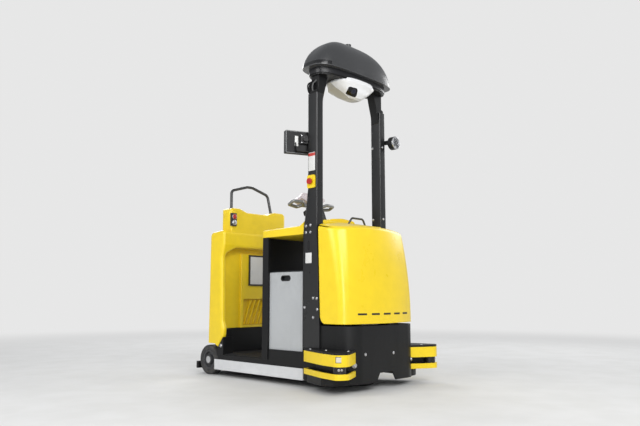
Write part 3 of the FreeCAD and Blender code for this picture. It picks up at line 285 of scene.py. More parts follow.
class Finish:
    """A material: one Principled shader, and the nodes that vary it over a surface."""

    def __init__(self, name, **sockets):
        self.material = bpy.data.materials.new(name)
        self.material.use_nodes = True
        self.tree = self.material.node_tree
        self.tree.nodes.clear()
        self.shader = self.tree.nodes.new("ShaderNodeBsdfPrincipled")
        output = self.tree.nodes.new("ShaderNodeOutputMaterial")
        self.tree.links.new(self.shader.outputs[0], output.inputs[0])
        self.feed(self.shader, {key.replace("_", " "): value for key, value in sockets.items()})
        self.place = self.node("TexCoord", out="Object")
        self.x, self.y, self.z = (self.node("SeparateXYZ", values={0: self.place}, out=k) for k in range(3))

    def feed(self, node, values):
        """Sets or links the sockets of a node."""
        for key, value in values.items():
            socket = node.inputs[key]
            if isinstance(value, Value):
                self.tree.links.new(value.socket, socket)
            elif isinstance(value, tuple) and len(socket.default_value) == 4:
                socket.default_value = (*value, 1.0)
            else:
                socket.default_value = value

    def node(self, kind, settings=None, values=None, out=0):
        """Adds a node of a type: its settings first, then its sockets' values or links."""
        made = self.tree.nodes.new("ShaderNode" + kind)
        for key, value in (settings or {}).items():
            setattr(made, key, value)
        self.feed(made, values or {})
        return Value(self, made.outputs[out])

    def wear(self, **sockets):
        """Feeds the shader's own sockets."""
        self.feed(self.shader, {key.replace("_", " "): value for key, value in sockets.items()})
        return self

    def mix(self, first, second, share):
        """Blend of two colours."""
        return self.node("Mix", {"data_type": "RGBA"}, {0: share, 6: first, 7: second}, out=2)

    def stretched(self, x, y, z):
        """Object coordinates scaled apart, for grain that runs one way."""
        return self.node("VectorMath", {"operation": "MULTIPLY"}, {0: self.place, 1: (x, y, z)})

    def noise(self, scale, detail=3.0, roughness=0.55, place=None):
        return self.node("TexNoise", None, {"Vector": place or self.place, "Scale": scale, "Detail": detail,
                                            "Roughness": roughness})

    def facing(self, axis=2):
        """How far the surface looks along an axis, from -1 to 1."""
        normal = self.node("NewGeometry", out="Normal")
        return self.node("SeparateXYZ", values={0: normal}, out=axis)

    def rounded(self, radius):
        """Normal with its sharp edges rounded off."""
        return self.node("Bevel", {"samples": 3}, {"Radius": radius})

    def edges(self, radius):
        """1 where the rounded normal leaves the flat one, near an outer edge."""
        flat = self.node("NewGeometry", out="Normal")
        dot = self.node("VectorMath", {"operation": "DOT_PRODUCT"}, {0: flat, 1: self.rounded(radius)}, out=1)
        return (1 - dot).rise(0.02, 0.22)

    def bump(self, height, depth, normal=None):
        """Normal of a relief whose height runs from 0 to 1 over depth metres."""
        values = {"Height": height, "Distance": depth, "Strength": 1.0}
        if normal:
            values["Normal"] = normal
        return self.node("Bump", None, values, out="Normal")


def shade(colour, factor):
    """A colour made lighter or darker in Python."""
    return tuple(min(1.0, c * factor) for c in colour)


def coating(name, colour, rough, *, drift=0.10, grain=420, depth=0.00012, soft_edge=0.0025, bare=None,
            dust=0.0, scuffs=0.0, **sockets):
    """A coat of paint or moulded plastic.

    Its colour drifts between a darker and a lighter tone in soft patches. Roughness follows the patches
    and fine smears. Fine grain gives the relief, edges are rounded and can be rubbed bare, dust lies on
    faces that look up, and scuffs are thin level streaks that lighten the low sides.
    """
    coat = Finish(name, **sockets)
    patches = coat.noise(2.6, 3) * 0.6 + coat.noise(17, 4) * 0.4
    tone = patches.rise(0.34, 0.66)
    base = coat.mix(shade(colour, 1 - drift), shade(colour, 1 + drift * 0.6), tone)
    smear = coat.noise(9, 5, 0.7, coat.stretched(1, 1, 0.35)).rise(0.42, 0.7)
    roughness = rough + (tone - 0.5) * 0.07 + smear * 0.09
    if dust:
        settled = coat.facing().rise(0.35, 0.95) * coat.noise(26, 5, 0.65).rise(0.3, 0.72) * dust
        base = coat.mix(base, DUST, settled)
        roughness = roughness + settled * 0.4
    if scuffs:
        streaks = coat.noise(38, 4, 0.6, coat.stretched(0.12, 0.12, 1.6)).rise(0.62, 0.78)
        low = 1 - coat.z.rise(0.1, 0.7)
        marks = streaks * (low * 0.8 + 0.2) * scuffs
        base = coat.mix(base, tuple(c * 0.6 + 0.12 for c in colour), marks)
        roughness = roughness + marks * 0.25
    if bare:
        rubbed = coat.edges(soft_edge * 1.4) * coat.noise(30, 4, 0.7).rise(0.5, 0.66) * 0.8
        base = coat.mix(base, bare, rubbed)
    fine = coat.noise(grain, 2, 0.5)
    normal = coat.bump(fine, depth, coat.rounded(soft_edge) if soft_edge else None)
    coat.base, coat.roughness, coat.normal = base, roughness, normal
    return coat.wear(Base_Color=base, Roughness=roughness, Normal=normal)


# ---------------------------------------------------------------- finishes

YELLOW = (0.93, 0.672, 0.012)
CHARCOAL = (0.0062, 0.0064, 0.0068)
BARE_STEEL = (0.16, 0.155, 0.15)
DUST = (0.36, 0.355, 0.345)
DEEP_BLACK = (0.006, 0.006, 0.007)


def hood_yellow():
    """Glossy moulded yellow with five black dashes low on the outer skin of the hood's front."""
    coat = coating("hood_yellow", YELLOW, 0.30, drift=0.05, grain=160, depth=0.0002, soft_edge=0.006,
                   dust=0.03, scuffs=0.05, Coat_Weight=0.3, Coat_Roughness=0.3)
    pitch, half_long, half_high, level, reach = 0.1255, 0.04035, 0.0070, 0.537, 0.3
    cell = coat.x / pitch
    beside = abs(cell - cell.math("ROUND", cell)) * pitch
    row = coat.z.within(level - half_high, level + half_high, 0.0008)
    row = row * (1 - abs(coat.x).rise(reach, reach + 0.001))
    outer = (coat.y - coat.x ** 2 / (2 * HOOD_BOW)) < HOOD_SKIN
    dash = (half_long - beside).rise(-0.001, 0.001) * row * outer
    base = coat.mix(coat.base, DEEP_BLACK, dash)
    return coat.wear(Base_Color=base, Roughness=coat.roughness + dash * 0.3)


def shell_yellow():
    """Moulded yellow of the backrest and covers, a little duller where clothes rub it."""
    coat = coating("shell_yellow", YELLOW, 0.34, drift=0.06, grain=150, depth=0.0002, soft_edge=0.006,
                   dust=0.03, scuffs=0.06, Coat_Weight=0.25, Coat_Roughness=0.28)
    rubbed = coat.noise(6, 4, 0.6).rise(0.5, 0.75) * coat.z.within(0.4, 1.1, 0.15)
    return coat.wear(Roughness=coat.roughness + rubbed * 0.12)


def guard_yellow():
    """Band paint, rubbed black at its rims, with a blank pale square in a dark frame at the outer corners."""
    coat = coating("guard_yellow", YELLOW, 0.38, drift=0.07, soft_edge=0.002, bare=(0.05, 0.05, 0.05),
                   dust=0.10, scuffs=0.35)
    square_y, square_z = -0.9135, 0.246
    square = abs(coat.y - square_y).most(abs(coat.z - square_z))
    side = abs(coat.x).rise(0.56, 0.561)
    base = coat.mix(coat.base, (0.05, 0.045, 0.03), side * (1 - square.rise(0.0205, 0.0215)))
    base = coat.mix(base, (0.66, 0.62, 0.50), side * (1 - square.rise(0.0165, 0.0175)))
    return coat.wear(Base_Color=base)


def cover_charcoal():
    """Glossy charcoal dome: a black window along its foot at both ends, and below it a lip painted paler as
    its rim highlight.
    """
    coat = coating("cover_charcoal", (0.036, 0.037, 0.039), 0.34, drift=0.05, grain=120, depth=0.0001,
                   soft_edge=0.004, dust=0.03, Coat_Weight=0.35, Coat_Roughness=0.16)
    height = coat.z - COVER_LOW
    ends = abs(coat.x).rise(0.338, 0.341)
    pane = ends * height.within(0.007, 0.036, 0.001)
    # painted highlight: the lip at the foot is lightened as if the rim caught the light
    painted_lip_highlight = 1 - height.rise(0.005, 0.0065)
    base = coat.mix(coat.base, DEEP_BLACK, pane)
    base = coat.mix(base, (0.06, 0.061, 0.063), painted_lip_highlight * 0.8)
    return coat.wear(Base_Color=base, Roughness=coat.roughness - pane * 0.16)


def pod_white():
    """Off-white pod: a white front shield, the tub behind it painted cream as shade, with a fine joint that
    bends back at its ends.
    """
    coat = coating("pod_white", (0.80, 0.805, 0.81), 0.36, drift=0.03, grain=200, depth=0.0001,
                   soft_edge=0.004, Coat_Weight=0.2)
    bend, half = 0.055, 0.2
    shield = POD_JOINT + (coat.x / half) ** 2 * bend - coat.y
    # painted shade: the tub behind the shield is darkened to cream
    painted_shade = 1 - shield.rise(-0.0005, 0.0005)
    base = coat.mix(coat.base, (0.46, 0.445, 0.385), painted_shade)
    base = coat.mix(base, (0.20, 0.20, 0.20), shield.within(-0.001, 0.001, 0.0006) * 0.8)
    return coat.wear(Base_Color=base)


def camera_glass():
    """Dark pane with a round lens behind it."""
    coat = Finish("camera_glass", Coat_Weight=0.25, Coat_Roughness=0.1, Specular_IOR_Level=0.2)
    radius = ((coat.x - PANE_SPOT[0]) ** 2 + (coat.z - PANE_SPOT[2]) ** 2) ** 0.5
    lens_edge, ring_edge = 0.014, 0.018
    lens = radius.within(0.0, lens_edge, 0.0008)
    ring = radius.within(lens_edge, ring_edge, 0.0006)
    base = coat.mix((0.004, 0.004, 0.005), (0.012, 0.014, 0.028), lens)
    base = coat.mix(base, (0.03, 0.03, 0.034), ring)
    dusty = coat.noise(60, 4).rise(0.45, 0.8)
    return coat.wear(Base_Color=base, Roughness=0.12 + dusty * 0.15,
                     Normal=coat.bump(coat.noise(40, 2), 0.00005, coat.rounded(0.002)))


def ribbed_rubber():
    """Mat rubber, lightly dusty and polished by feet in the middle."""
    coat = coating("ribbed_rubber", (0.016, 0.016, 0.017), 0.66, drift=0.2, grain=700, depth=0.0002,
                   soft_edge=0.001, dust=0.025, Specular_IOR_Level=0.3)
    trodden = (1 - (abs(coat.x) * 2.2).rise(0.1, 0.75)) * coat.y.within(0.15, 0.5, 0.12)
    return coat.wear(Roughness=coat.roughness - trodden * coat.noise(20, 4) * 0.25)


def tyre_rubber():
    """Solid tyre: grey-black with patches of dried dust."""
    coat = coating("tyre_rubber", (0.030, 0.030, 0.031), 0.70, drift=0.25, grain=500, depth=0.0003,
                   soft_edge=0.0)
    dusty = coat.noise(14, 5, 0.7).rise(0.45, 0.8) * 0.35
    base = coat.mix(coat.base, (0.23, 0.215, 0.19), dusty)
    return coat.wear(Base_Color=base)


def button_colours():
    """Black switch box; what stands proud of it is red in its upper half and silver in its lower half."""
    coat = coating("switch_box_black", (0.035, 0.035, 0.037), 0.5, grain=800, soft_edge=0.0015)
    low, high = corners("button_box")
    middle = (low[2] + high[2]) / 2
    front = 1 - coat.y.rise(low[1] + 0.0095, low[1] + 0.0098)
    upper = coat.z.rise(middle - 0.0005, middle + 0.0005)
    cap = coat.mix((0.46, 0.47, 0.48), (0.50, 0.02, 0.015), upper)
    return coat.wear(Base_Color=coat.mix(coat.base, cap, front))


def panel_grey():
    """Light grey paint of the battery panels, faintly brushed by hand-marks near the hand-hole."""
    coat = coating("panel_grey", (0.46, 0.475, 0.485), 0.42, drift=0.04, grain=380, depth=0.00008,
                   soft_edge=0.003, scuffs=0.25)
    near = 1 - abs(coat.z - HAND_HOLE[1]).rise(0.02, 0.16)
    hands = near * coat.noise(24, 5, 0.7).rise(0.4, 0.75) * 0.22
    return coat.wear(Base_Color=coat.mix(coat.base, (0.25, 0.25, 0.25), hands))


def strip_pale():
    """Pale blank plate under a weathered film with soft stains drawn along it."""
    coat = coating("strip_pale", (0.70, 0.71, 0.72), 0.40, drift=0.06, grain=260, depth=0.00008,
                   soft_edge=0.0015, scuffs=0.3)
    stains = coat.noise(20, 5, 0.7, coat.stretched(1, 0.3, 1)).rise(0.55, 0.8) * 0.3
    return coat.wear(Base_Color=coat.mix(coat.base, (0.42, 0.42, 0.40), stains))


def label_white(name, header=None):
    """Blank label film; a header band can be red."""
    coat = coating(name, (0.72, 0.72, 0.70), 0.35, drift=0.04, grain=500, depth=0.00003, soft_edge=0.0)
    if header:
        low, high = header
        coat.wear(Base_Color=coat.mix(coat.base, (0.50, 0.05, 0.04), coat.z.within(low, high)))
    return coat


def metal(name, colour, rough, grain_way=(1, 1, 1), depth=0.00008, **sockets):
    """Metal with grain drawn one way, a tarnish in soft patches, and rounded edges."""
    coat = Finish(name, Metallic=1.0, **sockets)
    tarnish = coat.noise(30, 5, 0.7).rise(0.4, 0.75)
    lines = coat.noise(600, 2, 0.5, coat.stretched(*grain_way))
    base = coat.mix(colour, shade(colour, 0.55), tarnish)
    return coat.wear(Base_Color=base, Roughness=rough + tarnish * 0.2 + (lines - 0.5) * 0.1,
                     Normal=coat.bump(lines, depth, coat.rounded(0.0015)))


def steel_black(name="steel_black", colour=CHARCOAL, **sockets):
    """Satin powder coat on steel: pebbled grain, chipped edges, dust on top and scuffs low down."""
    return coating(name, colour, 0.40, drift=0.16, grain=520, depth=0.00015, soft_edge=0.0025,
                   bare=BARE_STEEL, dust=0.025, scuffs=0.05, Specular_IOR_Level=0.32, **sockets)


FINISHES = {
    "black_steel": steel_black(),
    "rubber_mat": ribbed_rubber(),
    "pale_plate": strip_pale(),
    "hitch_steel": steel_black("hitch_black", (0.012, 0.012, 0.013)),
    "yellow_shell": shell_yellow(),
    "holder_plastic": coating("holder_black", (0.03, 0.03, 0.03), 0.5, grain=700, soft_edge=0.0015),
    "tube_black": coating("tube_black", (0.035, 0.035, 0.037), 0.30, drift=0.12, soft_edge=0.0, dust=0.12,
                          Coat_Weight=0.3),
    "button_plastic": button_colours(),
    "battery_case": coating("battery_case", (0.007, 0.010, 0.012), 0.5, drift=0.25, dust=0.04,
                            scuffs=0.05),
    "grey_panel": panel_grey(),
    "console_plastic": coating("console_plastic", (0.011, 0.011, 0.012), 0.50, grain=900, depth=0.0002,
                               soft_edge=0.003, dust=0.03, Specular_IOR_Level=0.35),
    "smoke_window": coating("smoke_window", (0.010, 0.010, 0.012), 0.32, drift=0.2, grain=60, depth=0.0001,
                            dust=0.03),
    "cover_gloss": cover_charcoal(),
    "camera_white": pod_white(),
    "camera_glass": camera_glass(),
    "switch_yellow": coating("switch_yellow", YELLOW, 0.4, drift=0.06, soft_edge=0.0015,
                             bare=(0.3, 0.25, 0.1)),
    "switch_red": coating("switch_red", (0.46, 0.016, 0.012), 0.26, drift=0.08, grain=90, soft_edge=0.003,
                          Coat_Weight=0.5),
    "lamp_metal": steel_black("lamp_black", (0.012, 0.012, 0.013)),
    "guard_yellow": guard_yellow(),
    "scanner_plastic": coating("scanner_black", (0.010, 0.010, 0.012), 0.30, drift=0.2, grain=60,
                               depth=0.0001, dust=0.04),
    "axle_steel": metal("axle_steel", (0.42, 0.42, 0.43), 0.34, (4, 1, 1)),
    "tyre_rubber": tyre_rubber(),
    "hub_metal": coating("hub_grey", (0.062, 0.063, 0.066), 0.40, drift=0.2, bare=(0.30, 0.30, 0.30),
                         scuffs=0.3, Metallic=0.3),
    "motor_metal": steel_black("motor_black", (0.018, 0.018, 0.019)),
}
HOOD = hood_yellow()
BOLT = metal("bolt_zinc", (0.62, 0.62, 0.63), 0.28, (1, 1, 3))
PILLAR = coating("pillar_black", CHARCOAL, 0.30, drift=0.14, grain=520, depth=0.000006, soft_edge=0.0,
                 dust=0.015, scuffs=0.04, Specular_IOR_Level=0.36, Coat_Weight=0.6, Coat_Roughness=0.30)
CAP = coating("cap_grey", (0.42, 0.425, 0.43), 0.4, drift=0.1, soft_edge=0.002, scuffs=0.2)
HANDLE = coating("handle_grey", (0.20, 0.205, 0.21), 0.28, drift=0.12, grain=300, soft_edge=0.0,
                 Coat_Weight=0.4)
DISPLAY = coating("display_pale", (0.62, 0.55, 0.57), 0.35, drift=0.05, grain=500, soft_edge=0.003)
GLASS = coating("screen_glass", (0.008, 0.009, 0.011), 0.09, drift=0.3, grain=50, depth=0.00004,
                soft_edge=0.0, Coat_Weight=1.0)
SILVER = metal("reflector_silver", (0.66, 0.67, 0.69), 0.38, depth=0.00006)
CABLE = coating("cable_black", (0.008, 0.008, 0.0085), 0.7, grain=900, soft_edge=0.0,
                Specular_IOR_Level=0.2)
CABLE_GREY = coating("cable_grey", (0.09, 0.09, 0.09), 0.5, drift=0.15, grain=900, soft_edge=0.0)
DARK = coating("recess_dark", DEEP_BLACK, 0.8, soft_edge=0.0)
GRIP = coating("grip_rubber", (0.03, 0.03, 0.031), 0.7, drift=0.2, grain=1200, depth=0.0003,
               soft_edge=0.0)
WHITE = label_white("label_white")
HEADED = label_white("label_headed", (1.712, 1.736))

for part in frame["record"]["subparts"]:
    for held in nodes[part["node"]].material_slots:
        held.material = FINISHES[part["material_slot"]].material


# ---------------------------------------------------------------- curved covers

BODY_OF = {node: body for body, held in frame["record"]["behaviour"]["bodies"].items() for node in held}
SLOT_OF = {part["node"]: part["material_slot"] for part in frame["record"]["subparts"]}
CURVED = ("front_hood", "backrest_shell", "battery_cover", "dash_cover", "console_cowl", "mast_cover",
          "scan_window", "head_tray", "camera_housing", "steering_console", "steering_head", "display_pod",
          "grab_loop", "hood_handle", "corner_guard_left", "corner_guard_right", "guard_bands",
          "corner_scanners", "front_box", "rear_hub_left", "rear_hub_right", "drive_hub", "forward_lamp",
          "stop_button", "tow_hitch", "drive_turret", "drive_motor", "pillar_left", "pillar_right",
          "top_antenna")
OWN_FINISH = {"front_hood": HOOD, "display_pod": DISPLAY, "steering_head": HANDLE, "pillar_left": PILLAR,
              "pillar_right": PILLAR}
for node in CURVED:
    skin = joined_copy(node, BODY_OF[node], SLOT_OF[node], 55 if node == "camera_housing" else 26)
    if node in OWN_FINISH:
        skin.data.materials[0] = OWN_FINISH[node].material


# ---------------------------------------------------------------- wheels

def tyre(name, body, node, y):
    """Solid tyre turned about its axle.

    Its section is a rounded rectangle: radial depth * sgn(sin a) * |sin a|^0.30 and
    half width * sgn(cos a) * |cos a|^0.22 across, with three fine rings raised on each side.
    """
    bead, raised, fine, ring_radii = 0.080, 0.0009, 0.0012, np.array([0.092, 0.105, 0.113])
    low, high = corners(node)
    half_wide, half_deep = (high[0] - low[0]) / 2, (WHEEL_RADIUS - bead) / 2
    a = np.linspace(0, 2 * np.pi, 97)
    radius = bead + half_deep + half_deep * np.sign(np.sin(a)) * np.abs(np.sin(a)) ** 0.30
    across = half_wide * np.sign(np.cos(a)) * np.abs(np.cos(a)) ** 0.22
    rings = raised * np.exp(-((radius[:, None] - ring_radii) / fine) ** 2).sum(axis=1)
    across += np.sign(across) * (rings * (np.abs(across) > 0.9 * half_wide) - raised)
    grid = turned(np.c_[radius, across], ((low[0] + high[0]) / 2, y, WHEEL_RADIUS), X, 96)
    piece(name, FINISHES["tyre_rubber"].material, [grid], body, replaces=(node,))


CAP_DOME = [(0.0, 0.0012), (0.012, 0.001), (0.026, 0.0004), (0.035, -0.001), (0.039, -0.004),
            (0.0392, -0.012)]
for side, sign in SIDES:
    body = "rear_wheel_" + side
    tyre("tyre_" + side, body, "rear_tyre_" + side, AXLE_Y)
    face = sign * max(abs(c[0]) for c in corners("rear_hub_" + side))
    cap = turned(CAP_DOME, (face, AXLE_Y, WHEEL_RADIUS), sign * X, 48)
    piece("wheel_cap_" + side, CAP.material, [cap], body)
tyre("tyre_drive", "drive_wheel", "drive_tyre", DRIVE_Y)


# ---------------------------------------------------------------- fasteners

BOLT_SHAPE = [(0, 0.30), (0.46, 0.30), (0.50, 0.62), (0.70, 0.60), (0.88, 0.48), (1, 0.24), (1, 0.14),
              (1.28, 0.14), (1.34, 0.06), (1.34, -0.1)]     # in shares of the head's radius


def button_head(spot, out, radius):
    """Round bolt head on a washer: a lathe profile of sunken socket, rim, dome and washer."""
    return turned(radius * np.array(BOLT_SHAPE), spot, out, 18)


def fasteners(name, heads):
    """The zinc fasteners of one place as one piece."""
    piece(name, BOLT.material, heads)


SIDE_BOLTS = [(-0.439, 1.137), (-0.485, 1.137), (-0.439, 1.185), (-0.485, 1.190), (-0.514, 0.652),
              (-0.550, 0.648), (-0.426, 0.582), (-0.555, 0.570), (-0.514, 0.511)]     # y, z on a pillar
SHELL_BOLT = (0.590, 0.253)                          # y, z on the backrest's side
GUARD_BOLTS = [(0.470, -0.545), (0.470, -0.700), (0.430, -0.870)]      # x, y on a guard's top
CORNER_BOLT = np.array([0.332, -0.8392, 0.187])      # on the box's round corner
CORNER_WAY = np.array([0.521, -0.853, 0])            # square to that corner
FLAT_BOLTS = {"left": (0.087, 0.250), "right": (-0.236, 0.257)}        # x, z on the box's flat front
INNER_BOLTS = [(-0.472, 1.900), (-0.472, 1.294)]     # y, z on a pillar's inner face
FACE_BOLTS = [(0.376, 1.297), (0.376, 1.905)]        # x, z on the left pillar's front
SCANNER = np.array([0.526, -0.876, 0.178])
SCANNER_RADIUS, SCANNER_TURNS = 0.0435, (34, 62)     # degrees from the side towards the front
for side, sign in SIDES:
    mirror = (sign, 1, 1)
    heads = [button_head((sign * PILLAR_SIDE, y, z), sign * X, 0.0085) for y, z in SIDE_BOLTS]
    heads.append(button_head((sign * SHELL_SIDE, *SHELL_BOLT), sign * X, 0.012))
    fasteners("side_bolts_" + side, heads)
    fasteners("guard_bolts_" + side,
              [button_head((sign * x, y, GUARD_TOP), Z, 0.008) for x, y in GUARD_BOLTS])
    x, z = FLAT_BOLTS[side]
    fasteners("box_bolts_" + side, [button_head(CORNER_BOLT * mirror, CORNER_WAY * mirror, 0.014),
                                    button_head((x, FRONT_FACE, z), -Y, 0.009)])
    posts = [button_head((sign * PILLAR_INNER, y, z), -sign * X, 0.008) for y, z in INNER_BOLTS]
    if side == "left":
        posts += [button_head((x, PILLAR_FRONT, z), -Y, 0.008) for x, z in FACE_BOLTS]
    fasteners("pillar_bolts_" + side, posts)
    ways = [(math.cos(turn) * X - math.sin(turn) * Y) * mirror for turn in np.radians(SCANNER_TURNS)]
    fasteners("scanner_screws_" + side,
              [button_head(SCANNER * mirror + SCANNER_RADIUS * way, way, 0.0065) for way in ways])
(rear_right, _, rear_low), (rear_left, rear_face, rear_high) = corners("rear_panel")
fasteners("rear_screws", [button_head((x, rear_face, z), Y, 0.006)
                          for x in (rear_right + 0.03, 0, rear_left - 0.03)
                          for z in (rear_low + 0.03, rear_high - 0.03)])


# ---------------------------------------------------------------- pillar and panel fittings

SLOT_RIM = [(0.010, 0.0002), (0.0045, 0.0002), (0.004, 0.0012), (0.002, 0.0018), (0.0, 0.0008), (0.0, 0)]
FOLDS = [((-0.4135, 1.121), (-0.4625, 1.452)), ((-0.4650, 1.120), (-0.4665, 1.452)),
         ((-0.415, 0.300), (-0.415, 1.118)), ((-0.574, 0.465), (-0.552, 1.180))]      # y, z of both ends
HOLE_RIM = [(0.004, -0.006), (0.004, 0.001), (0.002, 0.0026), (-0.001, 0.0026), (-0.003, 0.001),
            (-0.003, 0.0), (0.0, 0.0), (0.0, -0.006), (0.004, -0.006)]
for side, sign in SIDES:
    seat = sign * PILLAR_SIDE
    slot_rim = plate((seat, -0.466, 1.038), sign * Y, Z, 0.010, 0.036, 0.010, SLOT_RIM)
    piece("pillar_slot_" + side, DARK.material, [slot_rim])
    lips = [pipe(np.linspace((seat, *low), (seat, *high), 8), 0.0028, 8) for low, high in FOLDS]
    piece("pillar_folds_" + side, PILLAR.material, lips)
for name, film, y, z, half_y, half_z in (("side_label", WHITE, -0.4665, 0.9455, 0.0315, 0.0385),
                                         ("upper_label", HEADED, -0.4985, 1.6695, 0.0345, 0.0705)):
    label = plate((-PILLAR_SIDE, y, z), -Y, Z, half_y, half_z, 0.004, slab(0.0008, 0.0003, half_y))
    piece(name, film.material, [label])
for side, sign in SIDES:
    trim = plate((sign * PANEL_SIDE, *HAND_HOLE), sign * Y, Z, 0.0525, 0.0195, 0.0195, HOLE_RIM)
    piece("hand_hole_trim_" + side, GRIP.material, [trim])


# ---------------------------------------------------------------- lamp

LENS = 0.042                                         # radius of the lamp's glass
lamp_spot = front_of("forward_lamp")
r = np.linspace(0, LENS, 36)
swell = 0.0045 * (1 - (r / LENS) ** 2) + 0.0003 * np.cos(np.pi * r / 0.0042)
piece("lamp_lens", SILVER.material, [turned(np.c_[np.r_[r, LENS], np.r_[swell, -0.002]], lamp_spot, -Y, 48)])
spokes = [pipe(turned([(reach, 0.0056)], lamp_spot, -Y, 40)[0][np.arange(42) % 40], 0.0011, 6, -Y, False)
          for reach in (0.013, 0.028)]
for angle in np.arange(6) * math.pi / 3:
    way = math.cos(angle) * X + math.sin(angle) * Z
    run = np.linspace(lamp_spot + 0.006 * way - 0.0060 * Y, lamp_spot + LENS * way - 0.0035 * Y, 5)
    spokes.append(pipe(run, 0.0014, 6, -Y))
piece("lamp_spokes", FINISHES["lamp_metal"].material, spokes)
rim = [(LENS, 0.0), (LENS, 0.005), (0.044, 0.0068), (0.049, 0.0072), (0.053, 0.0055), (0.0545, 0.002),
       (0.0545, -0.004), (LENS, -0.004), (LENS, 0.0)]
piece("lamp_rim", BOLT.material, [turned(rim, lamp_spot, -Y, 64)])


# ---------------------------------------------------------------- camera pane

pane_u = np.array([0.985, -0.172, 0.0])
pane_w = np.array([0.108, -0.622, 0.775])
pane_w -= pane_u * (pane_u @ pane_w)
pane_w /= np.linalg.norm(pane_w)


def curved_pane():
    """Pane bent to the pod: a square's outline drawn in at its corners, scaled down to the middle.

    Each point (x, y) of a square's rim is divided by (|x|^6 + |y|^6)^(1/6) and scaled by its row's
    share, drawn outwards at its upper corner, then moved out by the row's height and by a quadratic of
    its place, which follows the pod.
    """
    half_u, half_w, flare, face = 0.039, 0.036, 0.06, 0.0026
    side = np.linspace(-1, 1, 16, endpoint=False)
    still = np.ones(16)
    x, y = np.r_[side, still, -side, -still], np.r_[-still, side, still, -side]
    shrink = (x ** 6 + y ** 6) ** (-1 / 6)
    rows = [(0, -0.012), (1, -0.012), (1, 0.0015), (0.96, 0.0034), (0.90, 0.0034), (0.87, face)]
    share, height = np.array(rows + [(k, face) for k in (0.72, 0.55, 0.38, 0.2, 0)]).T[:, :, None]
    a, b = share * x * shrink, share * y * shrink
    a = a - flare * (1 + b) * (1 - a)
    swell = 0.0110 + 0.0112 * a + 0.0017 * b - 0.0055 * a ** 2 - 0.0107 * a * b - 0.0094 * b ** 2
    return (np.array(PANE_SPOT) + half_u * a[..., None] * pane_u + half_w * b[..., None] * pane_w
            + (height + swell)[..., None] * np.cross(pane_u, pane_w))


piece("camera_pane", FINISHES["camera_glass"].material, [curved_pane()], replaces=("camera_window",))


# ---------------------------------------------------------------- operator screen

SCREEN_TURN, SCREEN_DEEP = math.radians(-23.6), 0.020            # half its depth
screen_u = np.array([math.cos(SCREEN_TURN), math.sin(SCREEN_TURN), 0])
screen_out = np.array([-math.sin(SCREEN_TURN), math.cos(SCREEN_TURN), 0])
screen_mid = sum(corners("operator_screen")) / 2


def on_back(u, w, out=0.0):
    """A point on the screen's back: along its width, up, and out behind it."""
    return screen_mid + screen_u * u + Z * w - screen_out * (SCREEN_DEEP + out)


BEZEL = [(0.100, 0.0), (0.0, 0.0), (0.0, 0.0015), (0.002, 0.003), (0.010, 0.003), (0.012, 0.0012),
         (0.100, 0.0012)]
BACK_EDGE = [(0.0, 0.0), (0.0, 0.0015), (0.0015, 0.0028), (0.0035, 0.0028), (0.005, 0.0012), (0.005, 0.0),
             (0.0, 0.0)]
BLOCK = [(0.034, 0.0), (0.0, 0.0), (0.0, 0.020), (0.003, 0.024), (0.034, 0.024)]
KNUCKLE = [(0.020, 0.0), (0.0, 0.0), (0.0, 0.010), (0.002, 0.012), (0.020, 0.012)]
SHELF = [(0.018, 0.0), (0.0, 0.0), (0.0, 0.003), (0.001, 0.004), (0.018, 0.004)]
SCREEN_SCREWS = [(0.014, 0.049, 0.024), (0.076, 0.049, 0.024), (0.014, -0.005, 0.024),
                 (0.076, -0.005, 0.024), (0.095, 0.060, 0.0), (0.095, -0.060, 0.0)]
face = screen_mid + screen_out * SCREEN_DEEP
piece("screen_face", GLASS.material, [plate(face, -screen_u, Z, 0.104, 0.085, 0.006, BEZEL)])
strip = plate(on_back(-0.020, 0.008), screen_u, Z, 0.013, 0.040, 0.003, slab(0.004, 0.001, 0.013))
piece("screen_strip", WHITE.material, [strip])
piece("screen_edge", HANDLE.material, [plate(on_back(0, 0), screen_u, Z, 0.105, 0.086, 0.006, BACK_EDGE)])
mount = [plate(on_back(0.045, 0.022), screen_u, Z, 0.038, 0.034, 0.006, BLOCK),
         plate(on_back(0.045, 0.022, 0.024), screen_u, Z, 0.022, 0.020, 0.020, KNUCKLE)]
mount += [blade([on_back(u, -0.074), on_back(u, -0.074, 0.036), on_back(u, -0.004, 0.012),
                 on_back(u, -0.004)], screen_u * 0.005) for u in (-0.032, 0.078)]
mount.append(plate(on_back(0.025, -0.072, 0.018), screen_u, -screen_out, 0.056, 0.018, 0.004, SHELF))
piece("screen_mount", FINISHES["lamp_metal"].material, mount)
fasteners("screen_screws", [button_head(on_back(*spot), -screen_out, 0.0045) for spot in SCREEN_SCREWS])


# ---------------------------------------------------------------- buttons and card

BUTTON_CAP = [(0, 0.0035), (0.010, 0.0033), (0.017, 0.0022), (0.0195, 0.0), (0.0195, -0.004)]
BUTTON_RING = [(0.0195, 0.0), (0.0225, 0.0016), (0.0245, 0.0), (0.0245, -0.0085), (0.0195, -0.0085),
               (0.0195, 0.0)]
box_front = front_of("button_box")
box_top = corners("button_box")[1][2]
red_spot, silver_spot = ((box_front[0], box_front[1], box_top - drop) for drop in (0.032, 0.083))
piece("button_red", FINISHES["switch_red"].material, [turned(BUTTON_CAP, red_spot, -Y, 40)])
piece("button_silver", SILVER.material, [turned(BUTTON_CAP, silver_spot, -Y, 40)])
piece("button_rings", BOLT.material, [turned(BUTTON_RING, spot + 0.001 * Y, -Y, 40)
                                      for spot in (red_spot, silver_spot)])
card = plate(front_of("document_holder") + 0.0048 * Y, X, Z, 0.091, 0.124, 0.004,
             slab(0.001, 0.0004, 0.091))
piece("blank_card", WHITE.material, [card])


# ---------------------------------------------------------------- pocket ribs, mat ribs

